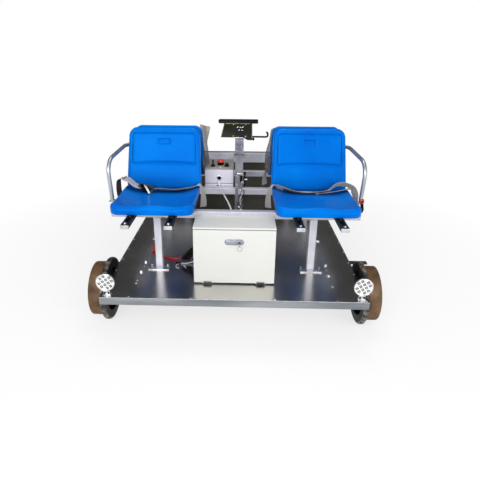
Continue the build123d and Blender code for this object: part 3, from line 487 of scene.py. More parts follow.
def sheet(bm, rings, bevel, broken, material=0):
    """A flat body between two like rings of points; broken picks the end faces whose edges break."""
    made = [[bm.verts.new(point) for point in ring] for ring in rings]
    faces = [bm.faces.new(made[0][::-1]), bm.faces.new(made[1])]
    for index in range(len(made[0])):
        after = (index + 1) % len(made[0])
        faces.append(bm.faces.new((made[0][index], made[0][after], made[1][after], made[1][index])))
    for face in faces:
        face.material_index = material
    break_edges(bm, [edge for face in faces[broken] for edge in face.edges], bevel)


# Bolts: width over the flats, height of the head, radius of the washer
small_bolt = (0.01, 0.005, 0.008)
foot_bolt = (0.009, 0.004, 0.006)
deck_bolt = (0.017, 0.007, 0.013)
rear_foot_bolt = (0.013, 0.006, 0.01)
wheel_bolt = (0.016, 0.008, 0.013)


def hex_bolt(bm, place, flats, height, washer, material=0):
    """A washer and a six-sided head with a broken edge."""
    radius = flats / 2 / math.cos(math.pi / 6)
    thick = 0.0015
    lathe(bm, place, [(0, washer), (thick, washer), (thick, 0)], 24, material)
    lathe(bm, place, [(thick, radius), (thick + height * 0.8, radius),
                      (thick + height, radius * 0.88), (thick + height, 0)], 6, material)


def rivet(bm, place, radius, material=0):
    """A low round head."""
    lathe(bm, place, [(0, radius), (radius * 0.3, radius * 0.92), (radius * 0.55, radius * 0.6),
                      (radius * 0.62, 0)], 14, material)


def piece(name, bm, body, slot, finishes=(), replaced=(), sharp=38.0):
    """An object from a bmesh that stands in place, riding on a body; its slot is its only finish
    unless others are named."""
    bmesh.ops.remove_doubles(bm, verts=bm.verts, dist=1e-6)
    bmesh.ops.recalc_face_normals(bm, faces=bm.faces)
    mesh = bpy.data.meshes.new(name)
    bm.to_mesh(mesh)
    bm.free()
    for finish in finishes or (slot,):
        mesh.materials.append(materials[finish])
    mesh.shade_smooth()
    mesh.set_sharp_from_angle(angle=math.radians(sharp))
    made = bpy.data.objects.new(name, mesh)
    bpy.context.scene.collection.objects.link(made)
    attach(made, body)
    if replaced:
        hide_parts(replaced)
    return made


def smooth_path(points, steps=8):
    """A Catmull-Rom line through points, each with any number of values."""
    line = []
    ends = [points[0]] + list(points) + [points[-1]]
    for before, here, after, last in zip(ends, ends[1:], ends[2:], ends[3:]):
        for step in range(steps):
            t = step / steps
            line.append([
                0.5 * (2 * b + (c - a) * t + (2 * a - 5 * b + 4 * c - d) * t * t
                       + (3 * b - a - 3 * c + d) * t ** 3)
                for a, b, c, d in zip(before, here, after, last)
            ])
    line.append(list(points[-1]))
    return line


def bent(points, bends, steps=8):
    """A line through points whose corners are rounded, each with its bend radius."""
    spots = [Vector(point) for point in points]
    line = [spots[0]]
    for before, here, after, bend in zip(spots, spots[1:], spots[2:], bends):
        back, on = (before - here).normalized(), (after - here).normalized()
        half = back.angle(on) / 2
        middle = here + (back + on).normalized() * bend / math.sin(half)
        start = here + back * bend / math.tan(half) - middle
        end = here + on * bend / math.tan(half) - middle
        for step in range(steps + 1):
            line.append(middle + start.normalized().slerp(end.normalized(), step / steps) * bend)
    line.append(spots[-1])
    return line


def ribbon(bm, points, width, thick, material=0):
    """A flat strap: each point has a place and the direction across the strap."""
    threads = bm.loops.layers.uv.verify()
    line = smooth_path([(*place, *across) for place, across in points], 6)
    rows = []
    length = 0.0
    for index, values in enumerate(line):
        here, across = Vector(values[:3]), Vector(values[3:])
        before, after = line[max(index - 1, 0)], line[min(index + 1, len(line) - 1)]
        way = (Vector(after[:3]) - Vector(before[:3])).normalized()
        across = (across - way * across.dot(way)).normalized() * width / 2
        up = across.cross(way).normalized() * thick / 2
        if index:
            length += (here - Vector(line[index - 1][:3])).length
        edge = 0.96
        ring = [here - across - up * 0.3, here - across * edge - up, here + across * edge - up,
                here + across - up * 0.3, here + across + up * 0.3, here + across * edge + up,
                here - across * edge + up, here - across + up * 0.3]
        rows.append(([bm.verts.new(point) for point in ring], length))
    spread = (0.0, 0.02, 0.98, 1.0, 1.0, 0.98, 0.02, 0.0)
    for (low, start), (high, end) in zip(rows, rows[1:]):
        for index in range(8):
            after = (index + 1) % 8
            face = bm.faces.new((low[index], low[after], high[after], high[index]))
            face.material_index = material
            places = ((index, start), (after, start), (after, end), (index, end))
            for loop, (corner, along) in zip(face.loops, places):
                loop[threads].uv = (spread[corner] * width, along)
    for ring in (rows[0][0][::-1], rows[-1][0]):
        bm.faces.new(ring).material_index = material


def rod(bm, points, radius, facets=12, material=0):
    """A round bar along points, with flat ends."""
    rows = []
    normal = None
    for index, point in enumerate(points):
        before = points[max(index - 1, 0)]
        after = points[min(index + 1, len(points) - 1)]
        way = (Vector(after) - Vector(before)).normalized()
        if normal is None:
            normal = way.orthogonal().normalized()
        normal = (normal - way * normal.dot(way)).normalized()
        side = way.cross(normal)
        ring = []
        for step in range(facets):
            angle = 2 * math.pi * step / facets
            ring.append(Vector(point) + (normal * math.cos(angle) + side * math.sin(angle)) * radius)
        rows.append(ring)
    first, last = Vector(points[0]), Vector(points[-1])
    rows = [[first] * facets] + rows + [[last] * facets]
    loft(bm, rows, material)


def make_wheels(end):
    """Turned bodies with a rounded flange, and a tread ring of another finish."""
    y = axle_y if end == "rear" else -axle_y
    bm = bmesh.new()
    flange, rim, hub, bore, seat = 0.174, 0.1225, 0.046, 0.02, 0.1365
    curve, bolt_circle = 0.011, 0.066
    web_outer = flange_face_x + 0.024

    def dish(face, hub_face, web):
        """One side of the wheel from bore to rim, with its corners rounded."""
        out = math.copysign(1, face - web)
        return [(hub_face, bore), (hub_face, hub - 0.003), (hub_face - out * 0.003, hub),
                (web + out * 0.004, hub + 0.002), (web, hub + 0.008), (web, rim - 0.008),
                (web + out * 0.004, rim - 0.002), (face - out * 0.003, rim), (face, rim + 0.003)]

    turns = quarter(*range(0, 91, 15))
    black = dish(wheel_inner_x, wheel_inner_x, flange_face_x + 0.01)
    black += [(wheel_inner_x, flange - 0.02), (wheel_inner_x, flange - curve)]
    worn = [(wheel_inner_x + curve * side, flange - curve * top) for side, top in turns[::-1]]
    worn += [(flange_face_x - curve * side, flange - curve * top) for side, top in turns]
    rest = [(flange_face_x, flange - curve), (flange_face_x, seat)]
    outside = [(wheel_outer_x, seat)] + dish(wheel_outer_x, wheel_outer_x - 0.022, web_outer)[::-1]
    for side in sides:
        place = facing((0, y, axle_z), (side, 0, 0))
        for profile, material in ((black, 0), (worn, 1), (rest, 1), (outside, 0)):
            lathe(bm, place, profile, 96, material)
        for index in range(5):
            angle = math.pi / 2 + 2 * math.pi * index / 5 + math.pi / 5
            across, up = bolt_circle * math.cos(angle), bolt_circle * math.sin(angle)
            spot = (side * web_outer, y + across, axle_z + up)
            hex_bolt(bm, facing(spot, (side, 0, 0)), *wheel_bolt, 2)
    piece(f"{end}_wheel_bodies", bm, f"{end}_wheelset", "wheel_black",
          ("wheel_black", "flange_worn", "axle_steel"), f"{end}_wheels")

    treads = bmesh.new()
    edge, start, foot = 0.004, flange_face_x + 0.0002, seat + 0.0001
    ring = [(start, foot), (start, tread_radius - 0.001), (flange_face_x + 0.006, tread_radius),
            (wheel_outer_x - edge, tread_radius - 0.0006),
            (wheel_outer_x - edge * 0.3, tread_radius - edge * 0.35),
            (wheel_outer_x, tread_radius - edge), (wheel_outer_x, foot)]
    for side in sides:
        lathe(treads, facing((0, y, axle_z), (side, 0, 0)), ring, 96)
    piece(f"{end}_tread_rings", treads, f"{end}_wheelset", "tread_brown", (), f"{end}_treads")


for end in ("front", "rear"):
    make_wheels(end)


# Seats: closed forms lofted through rings, from the middle of one face to the middle of the other
def rounded_outline(half_x, low, high, radii, across=26, along=20, corner=8):
    """Points and outward normals round a rectangle; radii are for the low and the high corners."""
    rounds = ((half_x, low, radii[0], -90), (half_x, high, radii[1], 0),
              (-half_x, high, radii[1], 90), (-half_x, low, radii[0], 180))
    outline = []
    for index, (x, y, radius, start) in enumerate(rounds):
        centre = Vector((x - math.copysign(radius, x), y + (radius if y == low else -radius)))
        for step in range(corner):
            angle = math.radians(start + 90 * step / (corner - 1))
            normal = Vector((math.cos(angle), math.sin(angle)))
            outline.append((centre + normal * radius, normal))
        after = rounds[(index + 1) % 4]
        after_centre = Vector((after[0] - math.copysign(after[2], after[0]),
                               after[1] + (after[2] if after[1] == low else -after[2])))
        angle = math.radians(start + 90)
        normal = Vector((math.cos(angle), math.sin(angle)))
        from_point = centre + normal * radius
        to_point = after_centre + normal * after[2]
        count = along if index % 2 == 0 else across
        for step in range(1, count):
            outline.append((from_point.lerp(to_point, step / count), normal))
    return outline


def smoothstep(value, low, high):
    """0 below low, 1 above high and a soft step between them."""
    share = min(max((value - low) / (high - low), 0.0), 1.0)
    return share * share * (3 - 2 * share)


cushion_rear, cushion_front = 0.2, 0.601
cushion_under = 0.6463
cushion_half = 0.218
under_edge = 0.007


def cushion_top(x, depth):
    """Height of the moulded seat: a bucket whose sides rise, with a hollow for each thigh."""
    share = (depth - cushion_rear) / (cushion_front - cushion_rear)
    across = min(abs(x) / cushion_half, 1.0)
    rise = 0.667 + 0.034 * share
    bowl = 0.01 * math.sin(math.pi * min(max(share, 0), 1)) * (1 - across ** 4)
    thighs = 0.0075 * math.sin(math.pi * across) ** 2 * smoothstep(share, 0.35, 0.95)
    wings = 0.027 * across ** 5 * (1 - smoothstep(share, 0.0, 0.8))
    return rise - bowl - thighs + wings


def cushion_rows(to_frame):
    """Rings of points round the cushion: its underside, its edge and its moulded top."""
    outline = rounded_outline(cushion_half, cushion_rear, cushion_front, (0.018, 0.05))
    middle = Vector((0, (cushion_rear + cushion_front) / 2))
    rows = []
    for share in (0.0, 0.5, 0.9):
        rows.append([to_frame(*middle.lerp(point, share), cushion_under) for point, _ in outline])
    for side, top in quarter(0, 30, 60, 90):
        rows.append([to_frame(*(point - normal * under_edge * side), cushion_under + under_edge * top)
                     for point, normal in outline])
    for drop, inset in quarter(0, 12, 24, 36, 48, 60, 72, 84, 90):
        inner = []
        for point, normal in outline:
            radius = 0.013 + 0.019 * smoothstep(normal.y, -0.2, 0.8)
            spot = point - normal * radius * inset
            inner.append((spot, cushion_top(*spot) - radius * drop))
        rows.append([to_frame(*spot, height) for spot, height in inner])
    for step in range(1, 15):
        share = 1 - step / 14
        spots = [middle.lerp(spot, share) for spot, _ in inner]
        rows.append([to_frame(*spot, cushion_top(*spot)) for spot in spots])
    return rows


back_low, back_high = 0.658, 1.015
back_lean = 0.11
back_half = (0.223, 0.209)
back_thick = 0.044
panel_half, panel_low, panel_high = 0.196, 0.8, 0.99
recess_half, recess_low, recess_high = 0.033, 0.9215, 0.9505


def back_face(z):
    """Depth of the backrest's front face at a height."""
    return 0.195 - back_lean * (z - back_low) / (back_high - back_low)


def back_bulge(x, z):
    """How far the moulded front stands out: full at the small of the back, and at the sides."""
    across = x / cushion_half
    lumbar = 0.007 * math.exp(-((z - 0.745) / 0.055) ** 2) * (1 - across ** 2)
    wings = 0.006 * across ** 4 * smoothstep(z, 0.66, 0.72)
    return lumbar + wings


def backrest_rows(to_frame):
    """Rings of points round the backrest: rear, edge, front, the panel's groove and the recess."""
    outline = []
    for point, normal in rounded_outline(back_half[0], back_low, back_high, (0.03, 0.048)):
        share = (point.y - back_low) / (back_high - back_low)
        width = (back_half[0] * (1 - share) + back_half[1] * share) / back_half[0]
        outline.append((Vector((point.x * width, point.y)), normal))
    panel = rounded_outline(panel_half, panel_low, panel_high, (0.022, 0.022))
    recess = rounded_outline(recess_half, recess_low, recess_high, (0.004, 0.004))
    middle = Vector((0, (recess_low + recess_high) / 2))
    arched = []
    for point, normal in panel:
        arch = 0.008 * (1 - (point.x / panel_half) ** 2) * smoothstep(-point.y, -0.86, -0.8)
        arched.append((point + Vector((0, arch)), normal))
    rows = []
    behind = Vector((0, 0.835))
    rear_edge, edge_inset, edge_depth = 0.012, 0.024, 0.018

    def add(points, offset):
        rows.append([to_frame(point.x, back_face(point.y) + offset(point), point.y)
                     for point in points])

    def bulge(point, depth=0.0):
        return back_bulge(point.x, point.y) + depth

    def rear(point):
        return -back_thick + rear_edge * smoothstep(point.y, 0.94, back_high)

    for share in (0.0, 0.45, 0.9):
        add([behind.lerp(point, share) for point, _ in outline], rear)
    for side, top in quarter(0, 30, 60, 90):
        add([point - normal * rear_edge * side for point, normal in outline],
            lambda point: rear(point) + rear_edge * top)
    for drop, inset in quarter(0, 15, 30, 45, 60, 75, 90):
        front = [point - normal * edge_inset * inset for point, normal in outline]
        add(front, lambda point: bulge(point) - edge_depth * drop)
    edge = [point for point, _ in arched]
    for step in range(1, 8):
        add([a.lerp(b, step / 8) for a, b in zip(front, edge)], bulge)
    groove = ((0.0, 0.0), (0.0015, -0.0014), (0.0035, -0.004), (0.006, -0.0046), (0.0085, -0.0034),
              (0.0115, -0.0006), (0.015, 0.0012))
    inner = edge
    for inset, depth in groove:
        inner = [point - normal * inset for point, normal in arched]
        add(inner, lambda point: bulge(point, depth))
    border = [point + normal * 0.003 for point, normal in recess]
    for step in range(1, 10):
        add([a.lerp(b, step / 9) for a, b in zip(inner, border)], lambda point: bulge(point, 0.0015))
    for inset, depth in ((0.0, -0.0014), (0.0014, -0.0042), (0.004, -0.0042)):
        inner = [point - normal * inset for point, normal in recess]
        add(inner, lambda point: bulge(point, depth + 0.0006))
    for share in (0.5, 0.0):
        add([middle.lerp(point, share) for point in inner], lambda point: bulge(point, -0.0036))
    return rows


def make_seat(name, side, way):
    """One moulded seat; way is -1 where it faces the front of the trolley."""
    def to_frame(x, depth, z):
        return Vector((side * seat_x + x, seat_plane_y + way * depth, z))

    bm = bmesh.new()
    loft(bm, cushion_rows(to_frame))
    piece(f"seat_{name}_seat_moulding", bm, f"seat_{name}", "seat_blue", (),
          f"seat_{name}_cushion", 60.0)
    drop = 0.005 if way < 0 else 0.014

    def to_back(x, depth, z):
        return to_frame(x, depth, z - drop * smoothstep(z, 0.9, back_high))

    bm = bmesh.new()
    loft(bm, backrest_rows(to_back))
    piece(f"seat_{name}_back_moulding", bm, f"seat_{name}", "seat_blue", (),
          f"seat_{name}_backrest", 60.0)


seats = {"front_left": (-1, -1), "front_right": (1, -1), "rear_left": (-1, 1), "rear_right": (1, 1)}
for name, (side, way) in seats.items():
    make_seat(name, side, way)


# Seat frames and slide rails
def make_seat_frame(name, side, way):
    """Sliders and cross bars, two flat uprights, and the armrest's bent tube."""
    def to_frame(x, depth, z):
        return Vector((side * (seat_x + x), seat_plane_y + way * depth, z))

    def ring(x, depth, z):
        return [to_frame(*corner) for corner in corners(x, depth, z)]

    def bar(x, depth, low=bar_low, high=bar_high, material=0):
        slab(bm, ring(x, depth, low), ring(x, depth, high), 0.0008, material)

    bm = bmesh.new()
    half, slider_low, slider = 0.02, 0.6223, (0.12, 0.595)
    for x in (-rail_offset, rail_offset):
        bar((x - 0.007, x + 0.007), slider, slider_low, bar_low, 1)
        bar((x - 0.015, x + 0.015), slider, slider_low, 0.6303, 1)
    rear = back_face(bar_high) - back_thick - 0.0053
    bar((-0.147, 0.147), (0.54, 0.58))
    bar((-0.16, 0.16), (rear, rear + 2 * half))
    bar((-0.114, 0.279), (0.341, 0.381))
    for x in (-0.14, 0.14):
        faces = [(z, back_face(z) - back_thick - 0.0003) for z in (bar_high, 0.94)]
        slab(bm, *(ring((x - half, x + half), (depth - 0.005, depth), z) for z, depth in faces), 0.0012)
        for x_bolt in (x - 0.01, x + 0.01):
            hex_bolt(bm, shift(*to_frame(x_bolt, rear + 0.022, bar_high)), *small_bolt)
        for z in (0.76, 0.86):
            depth = back_face(z) - back_thick - 0.0053
            hex_bolt(bm, facing(to_frame(x, depth, z), (0, -way, -0.3)), 0.01, 0.005, 0.009)
    foot, depth, arm_top = 0.264, 0.361, 0.905
    behind = back_face(arm_top) - back_thick - 0.0166
    route = ((foot, depth, 0.6463), (foot, depth, 0.6703), (0.276, depth, 0.868),
             (0.24, behind, arm_top), (0.14, behind, arm_top))
    rod(bm, bent([to_frame(*spot) for spot in route], (0.06, 0.09, 0.05), 14), arm_radius, 24)
    bead = ((0, 0.004), (0.0015, 0.0035), (0.004, 0.001), (0.005, -0.001))
    lathe(bm, shift(*to_frame(foot, depth, bar_high)),
          [(height, arm_radius + proud) for height, proud in bead], 24)
    piece(f"seat_{name}_frame_work", bm, f"seat_{name}", "arm_steel", ("arm_steel", "rail_steel"),
          f"seat_{name}_frame")


def make_rail_ends():
    """Bright caps, dark cover strips and their bolts at the outer end of each slide rail."""
    cap, cap_width, cap_height, cap_drop = 0.0042, 0.0418, 0.0198, 0.009
    cover_width, cover_length, cover_height, bolt_back = 0.0388, 0.03, 0.0026, 0.014
    bm = bmesh.new()
    for side in sides:
        for way in sides:
            for offset in (-rail_offset, rail_offset):
                x = side * seat_x + offset
                end = seat_plane_y + way * rail_end
                block(bm, shift(x, end + way * cap / 2, rail_top - cap_drop),
                      (cap_width, cap, cap_height), 0.001)
                block(bm, shift(x, end - way * cover_length / 2, rail_top + cover_height / 2),
                      (cover_width, cover_length, cover_height), 0.0006, 1)
                hex_bolt(bm, shift(x, end - way * bolt_back, rail_top + cover_height), *small_bolt)
    piece("rail_ends", bm, "chassis", "zinc_steel", ("bright_zinc", "rail_steel"))


for name, (side, way) in seats.items():
    make_seat_frame(name, side, way)
make_rail_ends()


# Lap belts: webbing that lies across the seat, with its buckle
def belt_spot(x, depth, lift):
    """A spot above the cushion's moulded top."""
    return (x, depth, cushion_top(x, depth) + lift)


def laid(*spots):
    """A belt's line over the cushion: each spot has a place, a lift and the way across the belt."""
    return [(belt_spot(x, depth, lift), across) for x, depth, lift, across in spots]


belt_width, belt_thick = 0.046, 0.0022
level, tipped, edge = (0.0, 1.0, 0.0), (0.0, 0.92, 0.38), (0.5, 0.86, 0.0)
inner_end = [((-0.214, 0.222, 0.702), level), ((-0.229, 0.224, 0.684), (0.15, 1.0, 0.0)),
             ((-0.237, 0.23, 0.65), (0.45, 0.9, 0.0)), ((-0.24, 0.236, 0.612), (0.65, 0.75, 0.0)),
             ((-0.238, 0.24, 0.572), (0.75, 0.65, 0.0))]


def belt_frame(side, way):
    """Two functions: a seat's own place to the frame's, and the same for a belt's line with its width."""
    def to_frame(x, depth, z):
        return Vector((side * (seat_x + x), seat_plane_y + way * depth, z))

    def line(spots):
        return [(to_frame(*place), Vector((across[0] * side, across[1] * way, across[2])))
                for place, across in spots]

    return to_frame, line


def belt_piece(name, bm):
    """A seat's belt in place of its plain solid."""
    piece(f"seat_{name}_lap_belt", bm, f"seat_{name}", "belt_web",
          ("belt_web", "black_plastic", "web_dark", "white_plastic"),
          f"seat_{name}_belt", 30.0)


def under_layer(spots, forward):
    """A second layer of webbing that shows below and before the first."""
    return [((x, depth + forward, z - 0.0035), across) for (x, depth, z), across in spots]


def make_belt(name, side, way):
    """Buckled belt: a dark loop at the side, a sleeve, a tangled buckle and a thin strap."""
    to_frame, line = belt_frame(side, way)
    outer = [((0.258, 0.222, 0.618), edge), ((0.262, 0.222, 0.672), edge),
             ((0.258, 0.222, 0.722), (0.35, 0.93, 0.0)), ((0.24, 0.224, 0.738), level),
             ((0.218, 0.232, 0.738), level), ((0.19, 0.24, 0.728), level)]
    outer += laid((0.156, 0.248, 0.03, (0.1, 1.0, 0.1)), (0.12, 0.256, 0.024, (0.25, 1.0, 0.1)),
                  (0.094, 0.262, 0.018, (0.3, 1.0, 0.1)))
    inner = laid((0.072, 0.258, 0.01, (0.25, 1.0, 0.2)), (0.02, 0.248, 0.016, tipped),
                 (-0.035, 0.252, 0.013, tipped), (-0.085, 0.252, 0.012, tipped),
                 (-0.135, 0.24, 0.014, tipped), (-0.18, 0.226, 0.01, tipped)) + inner_end
    sleeve, sleeve_width = outer[4:8], 0.062
    loop = laid((0.132, 0.254, 0.03, (0.2, 1.0, 0.3)), (0.106, 0.262, 0.044, (0.4, 0.9, 0.4)),
                (0.074, 0.268, 0.04, (0.6, 0.8, 0.4)), (0.046, 0.264, 0.022, level),
                (0.024, 0.256, 0.014, tipped))
    knot = laid((0.114, 0.27, 0.02, (0.5, 0.8, 0.3)), (0.088, 0.28, 0.026, (0.8, 0.5, 0.3)),
                (0.064, 0.284, 0.014, (0.8, 0.6, 0.0)), (0.06, 0.3, 0.004, (1.0, 0.2, 0.0)))
    slant = (0.6, 0.4, 0.3)
    tongue = laid((0.096, 0.272, 0.044, slant), (0.08, 0.292, 0.028, slant), (0.062, 0.318, 0.006, slant))
    bm = bmesh.new()
    for spots, width, thick, material in (
        (outer[:4], belt_width * 0.9, 0.003, 2),
        (outer[3:], belt_width, belt_thick, 0),
        (inner, belt_width, belt_thick, 0),
        (under_layer(inner[1:5], 0.012), belt_width * 0.8, belt_thick, 2),
        (sleeve, sleeve_width, 0.01, 0),
        (loop, 0.042, belt_thick, 2),
        (knot, 0.03, belt_thick, 2),
        (tongue, 0.013, 0.0028, 3),
    ):
        ribbon(bm, line(spots), width, thick, material)
    for spot, across in (line(sleeve)[0], line(sleeve)[-1]):
        wide, up = across.normalized() * (sleeve_width + 0.001) / 2, Vector((0, 0, 0.0045))
        rod(bm, [spot - wide + up, spot + wide + up], 0.003, 8, 2)
    middle = to_frame(*belt_spot(0.088, 0.268, 0.02))
    place = shift(*middle) @ spin(side * way * 0.35, "Z") @ spin(0.35, "X")
    block(bm, place, (0.058, 0.044, 0.014), 0.003, 1)
    block(bm, place @ shift(side * 0.004, 0, 0.0085), (0.02, 0.028, 0.004), 0.0012, 1)
    belt_piece(name, bm)


def make_loose_belt(name, side, way):
    """Unbuckled belt, as on the front right seat: one strap across the cushion, a second beside it."""
    _, line = belt_frame(side, way)
    steep = (0, 0.75, 0.65)
    strap = [((0.25, 0.292, 0.618), edge), ((0.253, 0.29, 0.65), edge), ((0.25, 0.284, 0.684), edge),
             ((0.232, 0.262, 0.712), (0.3, 0.8, 0.5)), ((0.186, 0.247, 0.724), (0, 0.7, 0.7)),
             ((0.146, 0.245, 0.716), (0, 0.7, 0.7))]
    strap += laid((0.102, 0.246, 0.014, (0, 0.8, 0.6)), (0.05, 0.248, 0.008, tipped),
                  (-0.028, 0.25, 0.007, (0, 0.98, 0.2)), (-0.099, 0.246, 0.01, (0, 0.9, 0.45)),
                  (-0.155, 0.238, 0.018, steep), (-0.19, 0.23, 0.018, steep)) + inner_end
    second = laid((0.03, 0.262, 0.004, level), (0.08, 0.266, 0.007, tipped),
                  (0.135, 0.264, 0.012, tipped), (0.19, 0.264, 0.012, tipped))
    second += [((0.228, 0.274, 0.704), edge), ((0.246, 0.296, 0.676), edge), ((0.252, 0.304, 0.64), edge)]
    bm = bmesh.new()
    ribbon(bm, line(strap), belt_width, belt_thick)
    ribbon(bm, line(second), belt_width * 0.9, belt_thick)
    ribbon(bm, line(under_layer(strap[6:11], 0.014)), belt_width * 0.8, belt_thick, 2)
    belt_piece(name, bm)


for name, (side, way) in seats.items():
    if name == "front_right":
        make_loose_belt(name, side, way)
    else:
        make_belt(name, side, way)


def make_catch():
    """Red release catch on a short strap, beside the front right cushion as in the photo."""
    bm = bmesh.new()
    place = shift(0.6565, -0.731, 0.711) @ spin(0.35, "X")
    block(bm, place, (0.02, 0.015, 0.026), 0.003)
    block(bm, place @ shift(0, -0.0078, 0.004), (0.012, 0.002, 0.01), 0.0008, 1)
    strap = ((0.656, -0.733, 0.7), (0.6555, -0.745, 0.69), (0.655, -0.756, 0.676),
             (0.65, -0.756, 0.66))
    ribbon(bm, [(spot, (1, 0, 0)) for spot in strap], 0.016, 0.003, 1)
    piece("belt_catch", bm, "seat_front_right", "red_plastic", ("red_plastic", "black_plastic"))


make_catch()


# Battery box: folded sheets, and a door that is a shallow tray. A fold is rounded at these angles.
rolled = (0, 22, 45, 68, 90)


def tray(bm, half, low, high, front, deep, wall, roll):
    """A folded tray that opens backwards: its front face lies at front, with rolled edges."""
    radius = roll * 1.4
    inside = rounded_outline(half - wall, low + wall, high - wall, (radius, radius), 10, 10, 4)
    outside = rounded_outline(half, low, high, (radius, radius), 10, 10, 4)
    middle = Vector((0, (low + high) / 2))
    rows = [[Vector((middle.x, front + wall, middle.y))] * len(inside)]
    for ring, depth in ((inside, wall), (inside, deep), (outside, deep)):
        rows.append([Vector((point.x, front + depth, point.y)) for point, _ in ring])
    for back, inset in quarter(*rolled):
        rows.append([Vector((point.x - normal.x * roll * inset, front + roll * back,
                             point.y - normal.y * roll * inset)) for point, normal in outside])
    face = rows[-1]
    for share in (0.94, 0.6, 0.3, 0.0):
        rows.append([Vector((middle.x, front, middle.y)).lerp(spot, share) for spot in face])
    loft(bm, rows)


def prism(bm, outline, left, right, bevel, material=0):
    """A section, given as points along Y and Z, drawn out along X."""
    sheet(bm, [[(x, *point) for point in outline] for x in (left, right)], bevel, slice(0, 2), material)


def make_box():
    """The shell with its lid's rolled lip and hinge ears, and the door with its knuckles; a dark strip
    along the foot of the front and the dark hinges are painted shade for the shadow gap under the door.
    """
    steel, lip, roll, shell_front = 0.002, 0.009, 0.003, box_front + 0.023
    floor, hinge_x = deck_top + 0.0003, 0.14
    bm = bmesh.new()
    lid = [(box_back, box_top)]
    lid += [(box_front + roll * back, box_top - roll * drop) for back, drop in quarter(*rolled)]
    lid += [(box_front, box_top - lip), (box_front + steel, box_top - lip),
            (box_front + steel, box_top - roll), (box_front + roll, box_top - steel),
            (box_back, box_top - steel)]
    prism(bm, lid, -box_half, box_half, 0.0006)

    def panel(x, y, low, high, material=0):
        slab(bm, corners(x, y, low), corners(x, y, high), 0.0005, material)

    inner = box_half - steel
    for side in sides:
        wall = sorted((side * box_half, side * inner))
        panel(wall, (shell_front, box_back), floor, box_top - steel - 0.0001)
    panel((-inner, inner), (box_back - steel, box_back), floor, box_top - steel)
    panel((-inner, inner), (shell_front, box_back - steel), floor, deck_top + steel)
    # Painted shade: a low strip in the dark finish along the foot of the front stands for the shadow gap
    # under the door.
    panel((-box_half, box_half), (box_front - 0.003, shell_front), floor, deck_top + 0.004, 2)
    hinge = (box_front - 0.005, deck_top + 0.011)

    def knuckle(x, length, bore, material):
        lathe(bm, facing((x, *hinge), (1, 0, 0)),
              [(0, bore), (0, 0.0046), (0.0005, 0.005), (length - 0.0005, 0.005), (length, 0.0046),
               (length, bore)], 20, material)

    # The hinge ears take the dark finish as well, painted shade that sinks them into that shadow gap.
    for side in sides:
        middle = side * hinge_x
        for start, length in ((-0.0213, 0.008), (0.0133, 0.008)):
            knuckle(middle + start, length, 0.0025, 2)
            block(bm, shift(middle + start + length / 2, hinge[0], deck_top + 0.0055),
                  (length, 0.0096, 0.01), 0.0005, 2)
        lathe(bm, facing((middle - 0.0265, *hinge), (1, 0, 0)),
              [(0, 0.0), (0, 0.0028), (0.001, 0.0034), (0.003, 0.0034), (0.0035, 0.0025),
               (0.05, 0.0025), (0.0515, 0.0032), (0.053, 0.0)], 16, 1)
    piece("box_folded_shell", bm, "chassis", "ivory_paint", ("ivory_paint", "bright_zinc", "dark_cells_and_painted_shade"),
          "box_shell", 35.0)

    bm = bmesh.new()
    tray(bm, box_half, deck_top + 0.007, box_top - lip - 0.005, box_front, 0.018, steel, 0.0028)
    # The door's hinge knuckles take the dark finish, painted shade of the gap under the door.
    for side in sides:
        knuckle(side * hinge_x - 0.013, 0.026, 0.0026, 1)
        leaf = shift(side * hinge_x, box_front - 0.0002, hinge[1] + 0.007)
        block(bm, leaf, (0.026, 0.0016, 0.0135), 0.0004)
    piece("box_folded_door", bm, "box_door", "ivory_paint", ("ivory_paint", "dark_cells_and_painted_shade"), "box_door", 35.0)


def make_lock():
    """A long plate with a keyhole at one end, the key in it and a ring on the key."""
    height = deck_top + 0.245
    place = facing((0, box_front, height), (0, -1, 0))
    bm = bmesh.new()
    half_length, radius, steps = 0.05, 0.016, 12

    def slot(half, round_radius):
        ring = []
        for end, start in ((1, -90), (-1, 90)):
            for step in range(steps + 1):
                angle = math.radians(start + 180 * step / steps)
                ring.append(Vector((end * (half - round_radius) + round_radius * math.cos(angle),
                                    round_radius * math.sin(angle), 0)))
        return ring

    profile = ((0.0, 0.0), (0.003, 0.0), (0.0046, 0.0012), (0.005, 0.003), (0.0046, 0.0044),
               (0.0046, 0.0048), (0.0072, 0.0056), (0.008, 0.0072), (0.008, 0.015))
    rows = []
    for lift, inset in profile:
        ring = slot(half_length - inset, radius - inset)
        rows.append([place @ (point + Vector((0, 0, lift))) for point in ring])
    rows.append([place @ Vector((max(min(point.x, 0.034), -0.034), 0, 0.0084))
                 for point in slot(half_length, radius)])
    loft(bm, rows)
    hole = place @ shift(0.027, 0, 0.008)
    lathe(bm, hole, [(0, 0.0095), (0.002, 0.0092), (0.0028, 0.008), (0.0028, 0.0062),
                     (0.0008, 0.0058)], 28)
    lathe(bm, hole, [(0.0008, 0.006), (0.0009, 0.0)], 28, 1)
    block(bm, hole @ shift(0, 0, 0.01), (0.0022, 0.0075, 0.018), 0.0005)
    block(bm, hole @ shift(0, -0.004, 0.024), (0.0024, 0.02, 0.014), 0.001, 0, 3)
    ring_middle, ring_radius = Vector((0.027, -0.024, 0.031)), 0.0135
    ring = []
    for step in range(29):
        angle = 2 * math.pi * step / 28
        ring.append(place @ (ring_middle + Vector((ring_radius * math.sin(angle) * 0.9,
                                                   ring_radius * math.cos(angle),
                                                   0.004 * math.sin(angle)))))
    rod(bm, ring, 0.0011, 8)
    piece("box_lock_plate", bm, "box_door", "lock_chrome", ("lock_chrome", "black_plastic"), "box_lock",
          50.0)


make_box()
make_lock()


# Control box on its support plate
def lid_place(depth, x, lift=0.0):
    """A place on the sloping lid, at a distance back from the front edge."""
    slope = (control_heights[1] - control_heights[0]) / control_depth
    height = control_low + control_heights[0] + depth * slope + lift
    return facing((x, control_front + depth, height), (0, -slope, 1), (0, 1, 0))


